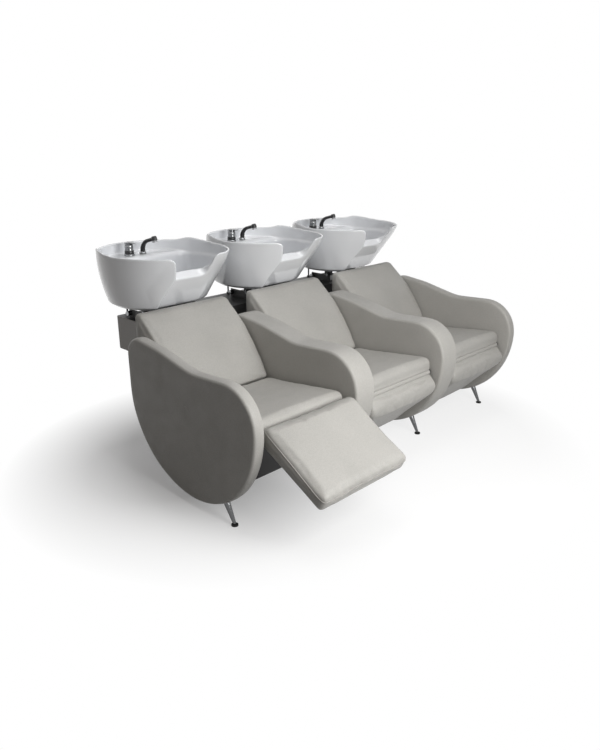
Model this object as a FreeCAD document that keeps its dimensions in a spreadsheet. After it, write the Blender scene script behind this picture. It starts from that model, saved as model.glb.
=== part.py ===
"""Three-seat hair washing bed: upholstered shell seats in a row, each with a folding
legrest and a tilting ceramic basin on a technical duct behind the backrests.

Frame: X along the row, +Y towards the basins, +Z up, origin on the floor under the
middle of the row. Millimetres.
"""

import FreeCAD, Part
import math
import os
import re

Vector = FreeCAD.Vector
Rotation = FreeCAD.Rotation
Placement = FreeCAD.Placement

doc = FreeCAD.newDocument("HairWashingBed")
sheet = doc.addObject("Spreadsheet::Sheet", "Sizes")

SIZES = {
    # the row
    "seat_gap": 530.0,
    "inner_panel_wide": 130.0,
    "outer_panel_wide": 59.0,
    # side panels: a big round below, a soft arm line above
    "panel_radius": 417.0,
    "panel_center_y": -75.0,
    "panel_center_z": 455.0,
    "panel_edge_round": 14.0,
    # seat cushion, side view corners
    "seat_back_y": 55.0,
    "seat_back_top_z": 415.0,
    "seat_front_y": -434.0,
    "seat_front_top_z": 470.0,
    "seat_front_low_z": 413.5,
    "seat_back_low_z": 346.0,
    "seat_front_round": 28.0,
    "seat_small_round": 10.0,
    "seat_side_gap": 2.0,
    "cushion_crown": 9.0,
    # backrest cushion, side view corners
    "back_low_y": 68.0,
    "back_low_z": 411.0,
    "back_top_front_y": 350.0,
    "back_top_z": 769.0,
    "back_rear_y": 386.0,
    "back_rear_low_z": 648.0,
    "back_heel_y": 150.0,
    "back_heel_z": 350.0,
    "back_top_round": 15.0,
    "back_side_gap": 15.0,
    # legrest pad, measured along and square to its own slope from the hinge
    "hinge_y": -424.0,
    "hinge_z": 400.0,
    "open_slope": 31.3,
    "fold_angle": 105.0,
    "pad_back": -4.0,
    "pad_long": 382.0,
    "pad_top": 91.0,
    "pad_low_back": 5.0,
    "pad_low_tip": 27.0,
    "pad_tip_draw": 10.0,
    "pad_back_round": 38.0,
    "pad_tip_round": 13.0,
    "pad_side_gap": 10.0,
    # legrest frame
    "soft_gap": 0.3,
    "shaft_r": 6.0,
    "shaft_proud": 2.0,
    "hub_r": 10.0,
    "arm_inset": 30.0,
    "arm_wide": 12.0,
    "arm_deep": 8.0,
    "arm_long": 300.0,
    "board_thick": 4.0,
    "board_start": 62.0,
    "board_end": 352.0,
    "board_inset": 20.0,
    # seat frame
    "rail_inset": 70.0,
    "rail_wide": 30.0,
    "rail_deep": 30.0,
    "rail_front_y": -375.0,
    "rail_top_z": 590.0,
    "tie_z": 530.0,
    "cross_wide": 30.0,
    "cross_mid_y": -100.0,
    "cross_back_y": 90.0,
    "lug_inset": 10.0,
    "lug_thick": 10.0,
    "lug_r": 11.0,
    "lug_half": 8.0,
    "bush_r": 8.0,
    "run_gap": 0.05,
    # pedestals
    "pedestal_front_y": -90.0,
    "pedestal_back_y": 50.0,
    "pedestal_margin": 20.0,
    "base_thick": 8.0,
    "pedestal_wall": 3.0,
    "base_margin_x": 36.0,
    "base_margin_y": 40.0,
    "anchor_r": 5.5,
    "anchor_inset": 18.0,
    # front legs
    "leg_angle": 28.9,
    "leg_top_r": 14.0,
    "leg_low_r": 7.0,
    "leg_plate_r": 24.0,
    "leg_plate_thick": 5.0,
    "leg_seat_deep": 7.0,
    "foot_r": 15.0,
    "foot_high": 6.0,
    # technical duct
    "duct_half": 781.0,
    "duct_front_y": 500.0,
    "duct_back_y": 760.0,
    "duct_low_z": 494.0,
    "duct_top_z": 664.0,
    "duct_sheet": 3.0,
    "end_plate_thick": 4.0,
    "end_plate_round": 5.0,
    "cover_thick": 3.0,
    "screw_r": 5.0,
    "screw_head": 3.0,
    "screw_count": 7.0,
    "screw_inset": 14.0,
    "upright_x": 580.0,
    "upright_wide": 100.0,
    "upright_deep": 60.0,
    "upright_y": 630.0,
    "upright_base_wide": 150.0,
    "upright_base_deep": 130.0,
    "pipe_r": 11.0,
    "pipe_y": 735.0,
    "hot_z": 620.0,
    "cold_z": 570.0,
    "waste_r": 25.0,
    "waste_z": 530.0,
    "funnel_r": 35.0,
    "funnel_wall": 3.0,
    "funnel_top_z": 656.0,
    "duct_hole_r": 40.0,
    # basins, measured from the middle of their seat
    "bowl_low_x": 35.0,
    "bowl_low_y": 605.0,
    "bowl_low_z": 745.0,
    "bowl_low_r": 200.0,
    "bowl_rim_x": 30.0,
    "bowl_rim_y": 545.0,
    "bowl_rim_z": 1010.0,
    "bowl_rim_r": 303.0,
    "bowl_rim_long": 10.0,
    "bowl_wall": 20.0,
    "hump_high": 14.0,
    "hump_r": 120.0,
    "hump_angle": 28.0,
    "bowl_floor_share": 0.1509434,
    "deck_share": 0.7924528,
    "deck_reach_share": 0.5115512,
    "tap_back": 55.0,
    "pocket_wall": 18.0,
    "pocket_top_share": 0.6981132,
    "pocket_gap": 22.0,
    "neck_off_share": 0.1386139,
    "neck_long": 400.0,
    "bib_half_share": 0.5511551,
    "bib_reach_share": 0.7755776,
    "bib_top_share": 0.6792453,
    "bib_lean": 38.0,
    # basin stands
    "tilt_y": 575.0,
    "tilt_z": 702.0,
    "pin_r": 5.0,
    "cradle_half": 112.0,
    "cradle_front_y": 470.0,
    "cradle_back_y": 768.0,
    "cradle_thick": 6.0,
    "ear_thick": 6.0,
    "ear_r": 14.0,
    "ear_half": 30.0,
    "stand_gap": 3.0,
    "stand_front_y": 555.0,
    "stand_back_y": 707.0,
    "stand_base": 4.0,
    "pin_head_r": 9.0,
    "pin_head_long": 5.0,
    "knob_y": 692.0,
    "knob_z": 684.0,
    "knob_r": 12.0,
    "knob_long": 22.0,
    "post_x": -72.0,
    "post_y": 748.0,
    "post_r": 4.5,
    "post_nut_r": 10.0,
    "post_nut_high": 8.0,
    # drains
    "drain_x": 40.0,
    "drain_y": 545.0,
    "drain_r": 14.0,
    "drain_flange_r": 36.0,
    "drain_flange_high": 3.0,
    "drain_low_z": 640.0,
    "drain_gap": 0.3,
    # mixers
    "mixer_x": -28.0,
    "mixer_base_r": 26.0,
    "mixer_base_high": 8.0,
    "mixer_r": 21.0,
    "mixer_high": 50.0,
    "cap_r": 20.0,
    "cap_high": 16.0,
    "cap_slot": 12.4,
    "lever_wide": 12.0,
    "lever_long": 62.0,
    "lever_thick": 6.0,
    "lever_lift": 6.0,
    "lever_pin_r": 2.0,
    # hand sprays
    "spray_x": 50.0,
    "socket_r": 17.0,
    "socket_high": 12.0,
    "spigot_r": 8.0,
    "spigot_deep": 30.0,
    "spigot_gap": 0.3,
    "stem_r": 9.0,
    "stem_straight": 4.0,
    "stem_bend_r": 55.0,
    "stem_bend_angle": 75.0,
    "stem_run": 46.0,
    "head_r": 15.0,
    "head_high": 26.0,
    "spray_turn": 12.0,
    # cutting tools run past what they cut by this much
    "overrun": 20.0,
}

# sizes that follow from others
TIED = {
    "back_wide": "=seat_gap - 2 * back_side_gap",
    "pad_wide": "=seat_gap - 2 * pad_side_gap",
    "shaft_half": "=pad_wide / 2 + shaft_proud",
    "arm_x": "=pad_wide / 2 - arm_inset",
    "board_half": "=pad_wide / 2 - board_inset",
    "lug_x": "=pad_wide / 2 - lug_inset",
    "rail_x": "=back_wide / 2 - rail_inset",
    "pedestal_half": "=rail_x + pedestal_margin",
    "bowl_high": "=bowl_rim_z - bowl_low_z",
    "bowl_floor_z": "=bowl_low_z + bowl_floor_share * bowl_high",
    "deck_z": "=bowl_low_z + deck_share * bowl_high",
    "pocket_top_z": "=bowl_low_z + pocket_top_share * bowl_high",
    "bib_top_z": "=bowl_low_z + bib_top_share * bowl_high",
    "bib_top_y": "=bowl_rim_y - bib_reach_share * bowl_rim_r",
    "bib_half": "=bib_half_share * bowl_rim_r",
    "neck_x": "=bowl_rim_x + neck_off_share * bowl_rim_r",
    "deck_y": "=bowl_rim_y + deck_reach_share * bowl_rim_r",
    "mixer_y": "=deck_y + tap_back",
    "spray_y": "=deck_y + tap_back",
}

# corners of the panel outline above the big round and their radii, as shares of the big
# round's radius from its centre
PANEL_TOP_SHARES = [
    (-1.0, 0.0, 0.0),
    (-1.0, 0.451, 0.408),
    (-0.072, 0.396, 0.72),
    (0.444, 0.511, 0.96),
    (1.0, 0.58, 0.211),
    (1.0, 0.0, 0.0),
]

# stations from each end of a cushion to its middle: distance in as a share of half its width,
# and how far the soft sides stand out there as a share of the crown
CUSHION_SHARES = [(0.0, -0.8), (0.016, -0.35), (0.05, -0.06), (0.4, 0.62), (1.0, 1.0)]

# how far each side of a cushion follows the crown, as shares of it, in the order of the corners
SEAT_SOFT_SHARES = (1.0, 0.15, 0.0, 0.0)
BACK_SOFT_SHARES = (0.0, 0.0, 0.0, 0.3, 1.0)
LEGREST_SOFT_SHARES = (1.0, 0.3, 0.0, 0.0)

# basin wall between foot and rim: share of the height, and share of the growth in radius
BOWL_GROWTH_SHARES = [(0.09, 0.30), (0.28, 0.62), (0.58, 0.86)]

# inner bowl: share of the depth below the deck, half width as a share of the rim's inner radius,
# half length as a share of that, and front end as a share of the way to the deck edge
BOWL_INNER_SHARES = [(0.0, 0.895, 0.7347, 0.045), (0.441, 0.807, 0.7063, 0.028), (0.853, 0.526, 0.7675, 0.034),
                     (1.0, 0.24, 0.951, 0.145)]

# neck recess seen from the front: shares of half the leaning front's width from its middle,
# of the basin's height, and of that half width again for the corner radius
NECK_SHARES = [(0.86, 1.27, 0.0), (0.60, 1.0, 0.30), (0.17, 0.574, 0.36), (-0.55, 0.558, 0.30),
               (-0.93, 0.69, 0.18), (-0.975, 1.27, 0.0)]

row = 2
for alias, content in (SIZES | TIED).items():
    sheet.set(f"A{row}", alias)
    sheet.set(f"B{row}", str(content))
    sheet.setAlias(f"B{row}", alias)
    row += 1
doc.recompute()

SIZE = {alias: float(sheet.get(alias)) for alias in SIZES | TIED}
ALIAS_WORD = re.compile(r"\b(" + "|".join(sorted(SIZE, key=len, reverse=True)) + r")\b")
SEATS = (1, 2, 3)
pieces = {}


def value(name):
    """A driving dimension read from the sheet."""
    return SIZE[name]


def bind(feature, prop, formula):
    """Tie a property to a formula in sheet aliases."""
    feature.setExpression(prop, ALIAS_WORD.sub(r"Sizes.\1", formula))


def bind_place(feature, x="0", y="0", z="0"):
    bind(feature, "Placement.Base.x", x)
    bind(feature, "Placement.Base.y", y)
    bind(feature, "Placement.Base.z", z)


def seat_x(seat):
    """Formula for the middle of a seat."""
    return f"({seat - 2}) * (seat_gap + inner_panel_wide)"


def keep(name, feature, x=None):
    """Name a finished sub-part and move it to its seat."""
    if x is not None:
        bind(feature, "Placement.Base.x", x)
    feature.Label = name
    pieces[name] = feature
    return feature


def block(name, x, y, z, wide, deep, high):
    box = doc.addObject("Part::Box", name)
    bind(box, "Length", wide)
    bind(box, "Width", deep)
    bind(box, "Height", high)
    bind_place(box, x, y, z)
    return box


def rod(name, radius, length, x, y, z, along="z"):
    cylinder = doc.addObject("Part::Cylinder", name)
    bind(cylinder, "Radius", radius)
    bind(cylinder, "Height", length)
    turns = {"z": Rotation(), "x": Rotation(Vector(0, 1, 0), 90), "y": Rotation(Vector(1, 0, 0), -90)}
    cylinder.Placement = Placement(Vector(), turns[along])
    bind_place(cylinder, x, y, z)
    return cylinder


def fuse(name, parts):
    feature = doc.addObject("Part::MultiFuse", name)
    feature.Shapes = parts
    feature.Refine = True
    return feature


def cut(name, base, *tools):
    feature = base
    for index, tool in enumerate(tools):
        step = doc.addObject("Part::Cut", f"{name}_step{index}")
        step.Base = feature
        step.Tool = tool
        feature = step
    return feature


def common(name, first, second):
    feature = doc.addObject("Part::Common", name)
    feature.Base = first
    feature.Tool = second
    return feature


def group(name, parts):
    """Separate solids that share one node."""
    feature = doc.addObject("Part::Compound", name)
    feature.Links = parts
    return feature


def rounded_edges(corners):
    """Closed outline of lines and corner arcs. A corner is (a, b, radius)."""
    legs = []
    count = len(corners)
    for index in range(count):
        before = Vector(*corners[index - 1][:2], 0)
        here = Vector(*corners[index][:2], 0)
        after = Vector(*corners[(index + 1) % count][:2], 0)
        radius = corners[index][2]
        back = (before - here).normalize()
        ahead = (after - here).normalize()
        half = back.getAngle(ahead) / 2
        reach = radius / math.tan(half) if radius > 0 else 0.0
        middle = (back + ahead).normalize() * (radius / math.sin(half) - radius)
        legs.append((here + back * reach, here + middle, here + ahead * reach, radius > 0))
    edges = []
    for index in range(count):
        start, middle, end, is_round = legs[index]
        following = legs[(index + 1) % count][0]
        if is_round:
            edges.append(Part.Arc(start, middle, end))
        edges.append(Part.LineSegment(end, following))
    return edges


def side_body(name, edges, width, x="0", role="YZ_Plane"):
    """A body whose side view is the outline, padded both ways along X."""
    body = doc.addObject("PartDesign::Body", name)
    sketch = body.newObject("Sketcher::SketchObject", f"{name}_outline")
    plane = [f for f in body.Origin.OriginFeatures if f.Role == role][0]
    sketch.AttachmentSupport = [(plane, "")]
    sketch.MapMode = "FlatFace"
    for edge in edges:
        sketch.addGeometry(edge, False)
    pad = body.newObject("PartDesign::Pad", f"{name}_pad")
    pad.Profile = sketch
    pad.Midplane = True
    bind(pad, "Length", width)
    body.Tip = pad
    bind(body, "Placement.Base.x", x)
    return body, pad


def side_wire(corners, x):
    """The outline as a wire in the plane across X at x."""
    axes = FreeCAD.Matrix(0, 0, 1, x, 1, 0, 0, 0, 0, 1, 0, 0, 0, 0, 0, 1)
    edges = [edge.toShape() for edge in rounded_edges(corners)]
    return Part.Wire(edges).transformShape(axes, True)


def soft_corners(corners, softness, bulge):
    """The outline with each side moved out by its softness times the bulge."""
    count = len(corners)
    lines = []
    for index in range(count):
        side = line_through(corners[index], corners[(index + 1) % count])
        lines.append(shifted(side, softness[index] * bulge))
    moved = []
    for index in range(count):
        moved.append(flat(crossing(lines[index - 1], lines[index]), corners[index][2]))
    return moved


def cushion(name, corners, softness, wide):
    """A crowned cushion, drawn in at both ends and flat on the sides with no softness."""
    half = wide / 2
    crown = value("cushion_crown")
    near = [(half * (1 - share), crown * bulge) for share, bulge in CUSHION_SHARES]
    stations = near + [(-x, bulge) for x, bulge in reversed(near[:-1])]
    wires = [side_wire(soft_corners(corners, softness, bulge), x) for x, bulge in stations]
    feature = doc.addObject("Part::Feature", name)
    feature.Shape = Part.makeLoft(wires, True, True)
    return feature


def line_through(a, b):
    return Vector(a[0], a[1], 0), (Vector(b[0], b[1], 0) - Vector(a[0], a[1], 0)).normalize()


def shifted(line, distance):
    """The line moved square to itself, to its right when distance is positive."""
    point, direction = line
    return point + Vector(direction.y, -direction.x, 0) * distance, direction


def crossing(first, second):
    p, d = first
    q, e = second
    turn = d.x * e.y - d.y * e.x
    along = ((q.x - p.x) * e.y - (q.y - p.y) * e.x) / turn
    return p + d * along


def at_y(line, y):
    point, direction = line
    return point + direction * ((y - point.x) / direction.x)


def at_z(line, z):
    point, direction = line
    return point + direction * ((z - point.y) / direction.y)


def flat(vector, radius=0.0):
    return (vector.x, vector.y, radius)


def side_panels():
    """Four upholstered panels, with a flat seat for each front leg."""
    radius = value("panel_radius")
    middle = Vector(value("panel_center_y"), value("panel_center_z"), 0)
    corners = [flat(middle + Vector(a, b, 0) * radius, c * radius) for a, b, c in PANEL_TOP_SHARES]
    low = middle + Vector(0, -radius, 0)
    diagonal = radius * math.sqrt(0.5)
    first, last = Vector(*corners[0][:2], 0), Vector(*corners[-1][:2], 0)
    back = Part.Arc(last, middle + Vector(diagonal, -diagonal, 0), low)
    front = Part.Arc(low, middle + Vector(-diagonal, -diagonal, 0), first)
    outline = rounded_edges(corners)[:-1] + [back, front]
    pitch = "(seat_gap + inner_panel_wide)"
    outer = "(1.5 * seat_gap + inner_panel_wide + outer_panel_wide / 2)"
    columns = [(1, "outer_panel_wide", f"-{outer}"), (2, "inner_panel_wide", f"-{pitch} / 2"),
               (3, "inner_panel_wide", f"{pitch} / 2"), (4, "outer_panel_wide", outer)]
    for number, wide, x in columns:
        body, pad = side_body(f"panel_{number}", outline, wide)
        doc.recompute()
        fillet = body.newObject("PartDesign::Fillet", f"panel_{number}_edges")
        faces = [i for i, f in enumerate(pad.Shape.Faces) if abs(f.normalAt(0, 0).x) > 0.99]
        fillet.Base = (pad, [f"Face{i + 1}" for i in faces])
        bind(fillet, "Radius", "panel_edge_round")
        body.Tip = fillet
        seat = rod(f"leg_seat_{number}", "leg_plate_r + soft_gap", "leg_seat_deep + overrun", "0", "0", "0")
        lean_to_leg(seat, "panel_radius - leg_seat_deep")
        panel = cut(f"side_panel_{number}_solid", body, seat)
        keep(f"side_panel_{number}", panel, x)
        front_leg(number, x)


def lean_to_leg(feature, distance):
    """Place a piece on the radius of the big round that a front leg follows, facing out."""
    feature.Placement = Placement(Vector(), Rotation(Vector(1, 0, 0), 180 - value("leg_angle")))
    bind(feature, "Placement.Base.y", f"panel_center_y - ({distance}) * sin(leg_angle)")
    bind(feature, "Placement.Base.z", f"panel_center_z - ({distance}) * cos(leg_angle)")


def front_leg(number, x):
    """Chrome cone with its screw plate, splayed forward, on a round foot."""
    plate = rod(f"leg_plate_{number}", "leg_plate_r", "leg_plate_thick", "0", "0", "0")
    lean_to_leg(plate, "panel_radius - leg_seat_deep")
    cone = doc.addObject("Part::Cone", f"leg_cone_{number}")
    bind(cone, "Radius1", "leg_top_r")
    bind(cone, "Radius2", "leg_low_r")
    bind(cone, "Height", "(panel_center_z - foot_high / 2) / cos(leg_angle) - panel_radius + leg_seat_deep")
    lean_to_leg(cone, "panel_radius - leg_seat_deep")
    whole = fuse(f"leg_whole_{number}", [plate, cone])
    floor = block(f"leg_floor_{number}", "-leg_plate_r", "panel_center_y - panel_radius", "-overrun",
                  "2 * leg_plate_r", "2 * panel_radius", "overrun + foot_high")
    leg = cut(f"leg_{number}", whole, floor)
    bind(leg, "Placement.Base.x", x)
    foot = rod(f"foot_{number}", "foot_r", "foot_high", x,
               "panel_center_y - (panel_center_z - foot_high) * tan(leg_angle)", "0")
    legs.append(leg)
    feet.append(foot)


def seat_corners():
    small = value("seat_small_round")
    return [
        (value("seat_back_y"), value("seat_back_top_z"), small),
        (value("seat_front_y"), value("seat_front_top_z"), value("seat_front_round")),
        (value("seat_front_y"), value("seat_front_low_z"), small),
        (value("seat_back_y"), value("seat_back_low_z"), small),
    ]


def back_corners():
    top = value("back_top_round")
    return [
        (value("back_low_y"), value("back_low_z"), value("seat_small_round")),
        (value("back_heel_y"), value("back_heel_z"), value("seat_small_round")),
        (value("back_rear_y"), value("back_rear_low_z"), top),
        (value("back_rear_y"), value("back_top_z"), top),
        (value("back_top_front_y"), value("back_top_z"), top),
    ]


def seat_cushions(seat):
    wide = value("seat_gap") - 2 * value("seat_side_gap")
    soft = cushion(f"seat_soft_{seat}", seat_corners(), SEAT_SOFT_SHARES, wide)
    keep(f"seat_cushion_{seat}", soft, seat_x(seat))
    back = cushion(f"back_soft_{seat}", back_corners(), BACK_SOFT_SHARES, value("back_wide"))
    keep(f"backrest_cushion_{seat}", back, seat_x(seat))


def legrest_point(seat, along, square):
    """A point of the legrest side view, from its own length and height to Y and Z."""
    folded = 0.0 if seat == 1 else value("fold_angle")
    turn = math.radians(180 + value("open_slope") + folded)
    y = value("hinge_y") + along * math.cos(turn) + square * math.sin(turn)
    z = value("hinge_z") + along * math.sin(turn) - square * math.cos(turn)
    return y, z


def legrest_corners(seat, corners):
    return [(*legrest_point(seat, a, b), radius) for a, b, radius in corners]


def under_pad(along):
    """Height of the pad's underside at a length from the hinge."""
    slope = (value("pad_low_tip") - value("pad_low_back")) / (value("pad_long") - value("pad_back"))
    return value("pad_low_back") + slope * (along - value("pad_back"))


def legrest(seat):
    round_back = value("pad_back_round")
    round_tip = value("pad_tip_round")
    pad = legrest_corners(seat, [
        (value("pad_back"), value("pad_top"), round_back),
        (value("pad_long") - value("pad_tip_draw"), value("pad_top"), round_tip),
        (value("pad_long"), value("pad_low_tip"), round_tip),
        (value("pad_back"), value("pad_low_back"), round_back),
    ])
    soft = cushion(f"legrest_soft_{seat}", pad, LEGREST_SOFT_SHARES, value("pad_wide"))
    keep(f"legrest_cushion_{seat}", soft, seat_x(seat))

    gap = value("soft_gap")
    thick = value("board_thick")
    start, end = value("board_start"), value("board_end")
    board = legrest_corners(seat, [
        (start, under_pad(start) - gap, 0.0),
        (end, under_pad(end) - gap, 0.0),
        (end, under_pad(end) - gap - thick, 0.0),
        (start, under_pad(start) - gap - thick, 0.0),
    ])
    tray, tray_pad = side_body(f"legrest_tray_{seat}", rounded_edges(board), "2 * board_half")
    reach = value("arm_long")
    deep = value("arm_deep")
    arm = legrest_corners(seat, [
        (0.0, under_pad(0.0) - gap - thick, 0.0),
        (reach, under_pad(reach) - gap - thick, 0.0),
        (reach, under_pad(reach) - gap - thick - deep, 0.0),
        (0.0, under_pad(0.0) - gap - thick - deep, 0.0),
    ])
    parts = [tray, rod(f"legrest_shaft_{seat}", "shaft_r", "2 * shaft_half", "-shaft_half",
                       "hinge_y", "hinge_z", "x")]
    for side in (-1, 1):
        bar, bar_pad = side_body(f"legrest_arm_{seat}_{side + 2}", rounded_edges(arm), "arm_wide",
                                 f"{side} * arm_x")
        parts.append(bar)
        parts.append(rod(f"legrest_hub_{seat}_{side + 2}", "hub_r", "arm_wide",
                         f"{side} * arm_x - arm_wide / 2", "hinge_y", "hinge_z", "x"))
    keep(f"legrest_frame_{seat}", fuse(f"legrest_metal_{seat}", parts), seat_x(seat))


def frame_lines():
    """Side view lines of the seat rails: top of the seat run and front of the back run."""
    gap = value("soft_gap")
    seat_low = line_through((value("seat_front_y"), value("seat_front_low_z")),
                            (value("seat_back_y"), value("seat_back_low_z")))
    back_rear = line_through((value("back_heel_y"), value("back_heel_z")),
                             (value("back_rear_y"), value("back_rear_low_z")))
    return shifted(seat_low, gap), shifted(back_rear, gap)


def seat_frame(seat):
    """Welded L-shaped rails tied to the duct, cross tubes from panel to panel, legrest lugs."""
    seat_line, back_line = frame_lines()
    deep = value("rail_deep")
    seat_under = shifted(seat_line, deep)
    back_under = shifted(back_line, deep)
    front = value("rail_front_y")
    top = value("rail_top_z")
    rail = [
        flat(at_y(seat_line, front)),
        flat(crossing(seat_line, back_line)),
        flat(at_z(back_line, top)),
        flat(at_z(back_under, top)),
        flat(crossing(seat_under, back_under)),
        flat(at_y(seat_under, front)),
    ]
    tie_low = value("tie_z")
    tie_high = tie_low + deep
    tie = [flat(at_z(back_line, tie_low)), (value("duct_front_y"), tie_low, 0.0),
           (value("duct_front_y"), tie_high, 0.0), flat(at_z(back_line, tie_high))]
    parts = []
    for side in (-1, 1):
        for kind, outline in (("rail", rail), ("tie", tie)):
            body, pad = side_body(f"{kind}_{seat}_{side + 2}", rounded_edges(outline), "rail_wide",
                                  f"{side} * rail_x")
            parts.append(body)
    wide = value("cross_wide")
    spans = [(front, front + wide), (value("cross_mid_y"), value("cross_mid_y") + wide),
             (value("cross_back_y"), value("cross_back_y") + wide)]
    for index, (near, far) in enumerate(spans):
        tube = [flat(at_y(seat_line, near)), flat(at_y(seat_line, far)),
                flat(at_y(seat_under, far)), flat(at_y(seat_under, near))]
        body, pad = side_body(f"cross_{seat}_{index}", rounded_edges(tube), "seat_gap")
        parts.append(body)
    tube = [flat(at_z(back_line, top - wide)), flat(at_z(back_line, top)),
            flat(at_z(back_under, top)), flat(at_z(back_under, top - wide))]
    body, pad = side_body(f"cross_{seat}_top", rounded_edges(tube), "seat_gap")
    parts.append(body)
    hinge = Vector(value("hinge_y"), value("hinge_z"), 0)
    tube_middle = (at_y(seat_line, front + wide / 2) + at_y(seat_under, front + wide / 2)) * 0.5
    lug_line = (hinge, (tube_middle - hinge).normalize())
    half = value("lug_half")
    lug = [flat(hinge + Vector(-lug_line[1].y, lug_line[1].x, 0) * half),
           flat(tube_middle + Vector(-lug_line[1].y, lug_line[1].x, 0) * half),
           flat(tube_middle - Vector(-lug_line[1].y, lug_line[1].x, 0) * half),
           flat(hinge - Vector(-lug_line[1].y, lug_line[1].x, 0) * half)]
    for side in (-1, 1):
        body, pad = side_body(f"lug_{seat}_{side + 2}", rounded_edges(lug), "lug_thick",
                              f"{side} * lug_x")
        parts.append(body)
        parts.append(rod(f"lug_eye_{seat}_{side + 2}", "lug_r", "lug_thick",
                         f"{side} * lug_x - lug_thick / 2", "hinge_y", "hinge_z", "x"))
        bush = rod(f"bush_{seat}_{side + 2}", "bush_r - run_gap / 2", "lug_thick",
                   f"{side} * lug_x - lug_thick / 2", "hinge_y", "hinge_z", "x")
        bore = rod(f"bush_bore_{seat}_{side + 2}", "shaft_r + run_gap", "lug_thick + 2 * overrun",
                   f"{side} * lug_x - lug_thick / 2 - overrun", "hinge_y", "hinge_z", "x")
        ring = cut(f"bush_ring_{seat}_{side + 2}", bush, bore)
        bind(ring, "Placement.Base.x", seat_x(seat))
        bushes.append(ring)
    eye = rod(f"lug_bore_{seat}", "bush_r", "seat_gap + 2 * overrun", "-seat_gap / 2 - overrun",
              "hinge_y", "hinge_z", "x")
    frame = cut(f"seat_frame_cut_{seat}", fuse(f"seat_frame_whole_{seat}", parts), eye)
    keep(f"seat_frame_{seat}", frame, seat_x(seat))


def pedestal(seat):
    """Sheet steel pedestal under the seat rails, open below, with a drilled floor flange."""
    seat_line, back_line = frame_lines()
    seat_under = shifted(seat_line, value("rail_deep"))
    near, far = value("pedestal_front_y"), value("pedestal_back_y")
    wall, over = value("pedestal_wall"), value("overrun")
    seat_inner = shifted(seat_under, wall)
    outer = [(near, 0.0, 0.0), (far, 0.0, 0.0), flat(at_y(seat_under, far)), flat(at_y(seat_under, near))]
    inner = [(near + wall, -over, 0.0), (far - wall, -over, 0.0), flat(at_y(seat_inner, far - wall)),
             flat(at_y(seat_inner, near + wall))]
    shell, shell_pad = side_body(f"pedestal_box_{seat}", rounded_edges(outer), "2 * pedestal_half")
    room, room_pad = side_body(f"pedestal_room_{seat}", rounded_edges(inner),
                               "2 * (pedestal_half - pedestal_wall)")
    half = "(pedestal_half + base_margin_x)"
    flange = block(f"pedestal_flange_{seat}", f"-{half}", "pedestal_front_y", "0", f"2 * {half}",
                   "pedestal_back_y - pedestal_front_y + base_margin_y", "base_thick")
    whole = fuse(f"pedestal_whole_{seat}", [shell, flange])
    holes = [room]
    for side in (-1, 1):
        for end, y in ((0, "pedestal_front_y + anchor_inset"),
                       (1, "pedestal_back_y + base_margin_y - anchor_inset")):
            holes.append(rod(f"anchor_{seat}_{side + 2}_{end}", "anchor_r", "base_thick + 2 * overrun",
                             f"{side} * ({half} - anchor_inset)", y, "-overrun"))
    keep(f"pedestal_{seat}", cut(f"pedestal_cut_{seat}", whole, *holes), seat_x(seat))


def bowl_sections(inset):
    """Heights, middles and half sizes of the basin's outside, drawn in by an inset."""
    low, rim = value("bowl_low_z"), value("bowl_rim_z")
    top = 1.0 + value("hump_high") / (rim - low)
    steps = [(0.0, 0.0)] + BOWL_GROWTH_SHARES + [(1.0, 1.0), (top, 1.0)]
    sections = []
    for height_share, growth_share in steps:
        z = low + (rim - low) * height_share
        shift = min(height_share, 1.0)
        x = value("bowl_low_x") + (value("bowl_rim_x") - value("bowl_low_x")) * shift
        y = value("bowl_low_y") + (value("bowl_rim_y") - value("bowl_low_y")) * shift
        r = value("bowl_low_r") + (value("bowl_rim_r") - value("bowl_low_r")) * growth_share
        sections.append((x, y, z, r - inset, r + value("bowl_rim_long") * shift - inset))
    return sections


def round_loft(name, sections):
    """A loft through level ellipses, longer along Y."""
    wires = []
    for x, y, z, wide, long in sections:
        ellipse = Part.Ellipse(Vector(x, y + long, z), Vector(x + wide, y, z), Vector(x, y, z))
        wires.append(Part.Wire([ellipse.toShape()]))
    feature = doc.addObject("Part::Feature", name)
    feature.Shape = Part.makeLoft(wires, True, False)
    return feature


def bib_y(z):
    """Where the leaning front of the basin lies at a height."""
    return value("bib_top_y") + (value("bib_top_z") - z) * math.tan(math.radians(value("bib_lean")))


def inner_bowl(seat):
    """The washing bowl below the tap deck, a loft of ellipses moving back as it deepens."""
    sections = []
    depth = value("deck_z") - value("bowl_floor_z")
    for deep_share, wide_share, long_share, front_share in BOWL_INNER_SHARES:
        z = value("deck_z") - depth * deep_share
        front = bib_y(z) + (value("deck_y") - bib_y(z)) * front_share + value("bowl_wall")
        half_wide = (value("bowl_rim_r") - value("bowl_wall")) * wide_share
        half_deep = half_wide * long_share
        middle = Vector(value("bowl_rim_x"), front + half_deep, z)
        ellipse = Part.Ellipse(middle, half_wide, half_deep)
        sections.append(Part.Wire([ellipse.toShape()]))
    feature = doc.addObject("Part::Feature", f"bowl_inner_{seat}")
    feature.Shape = Part.makeLoft(sections, True, False)
    return feature


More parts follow.
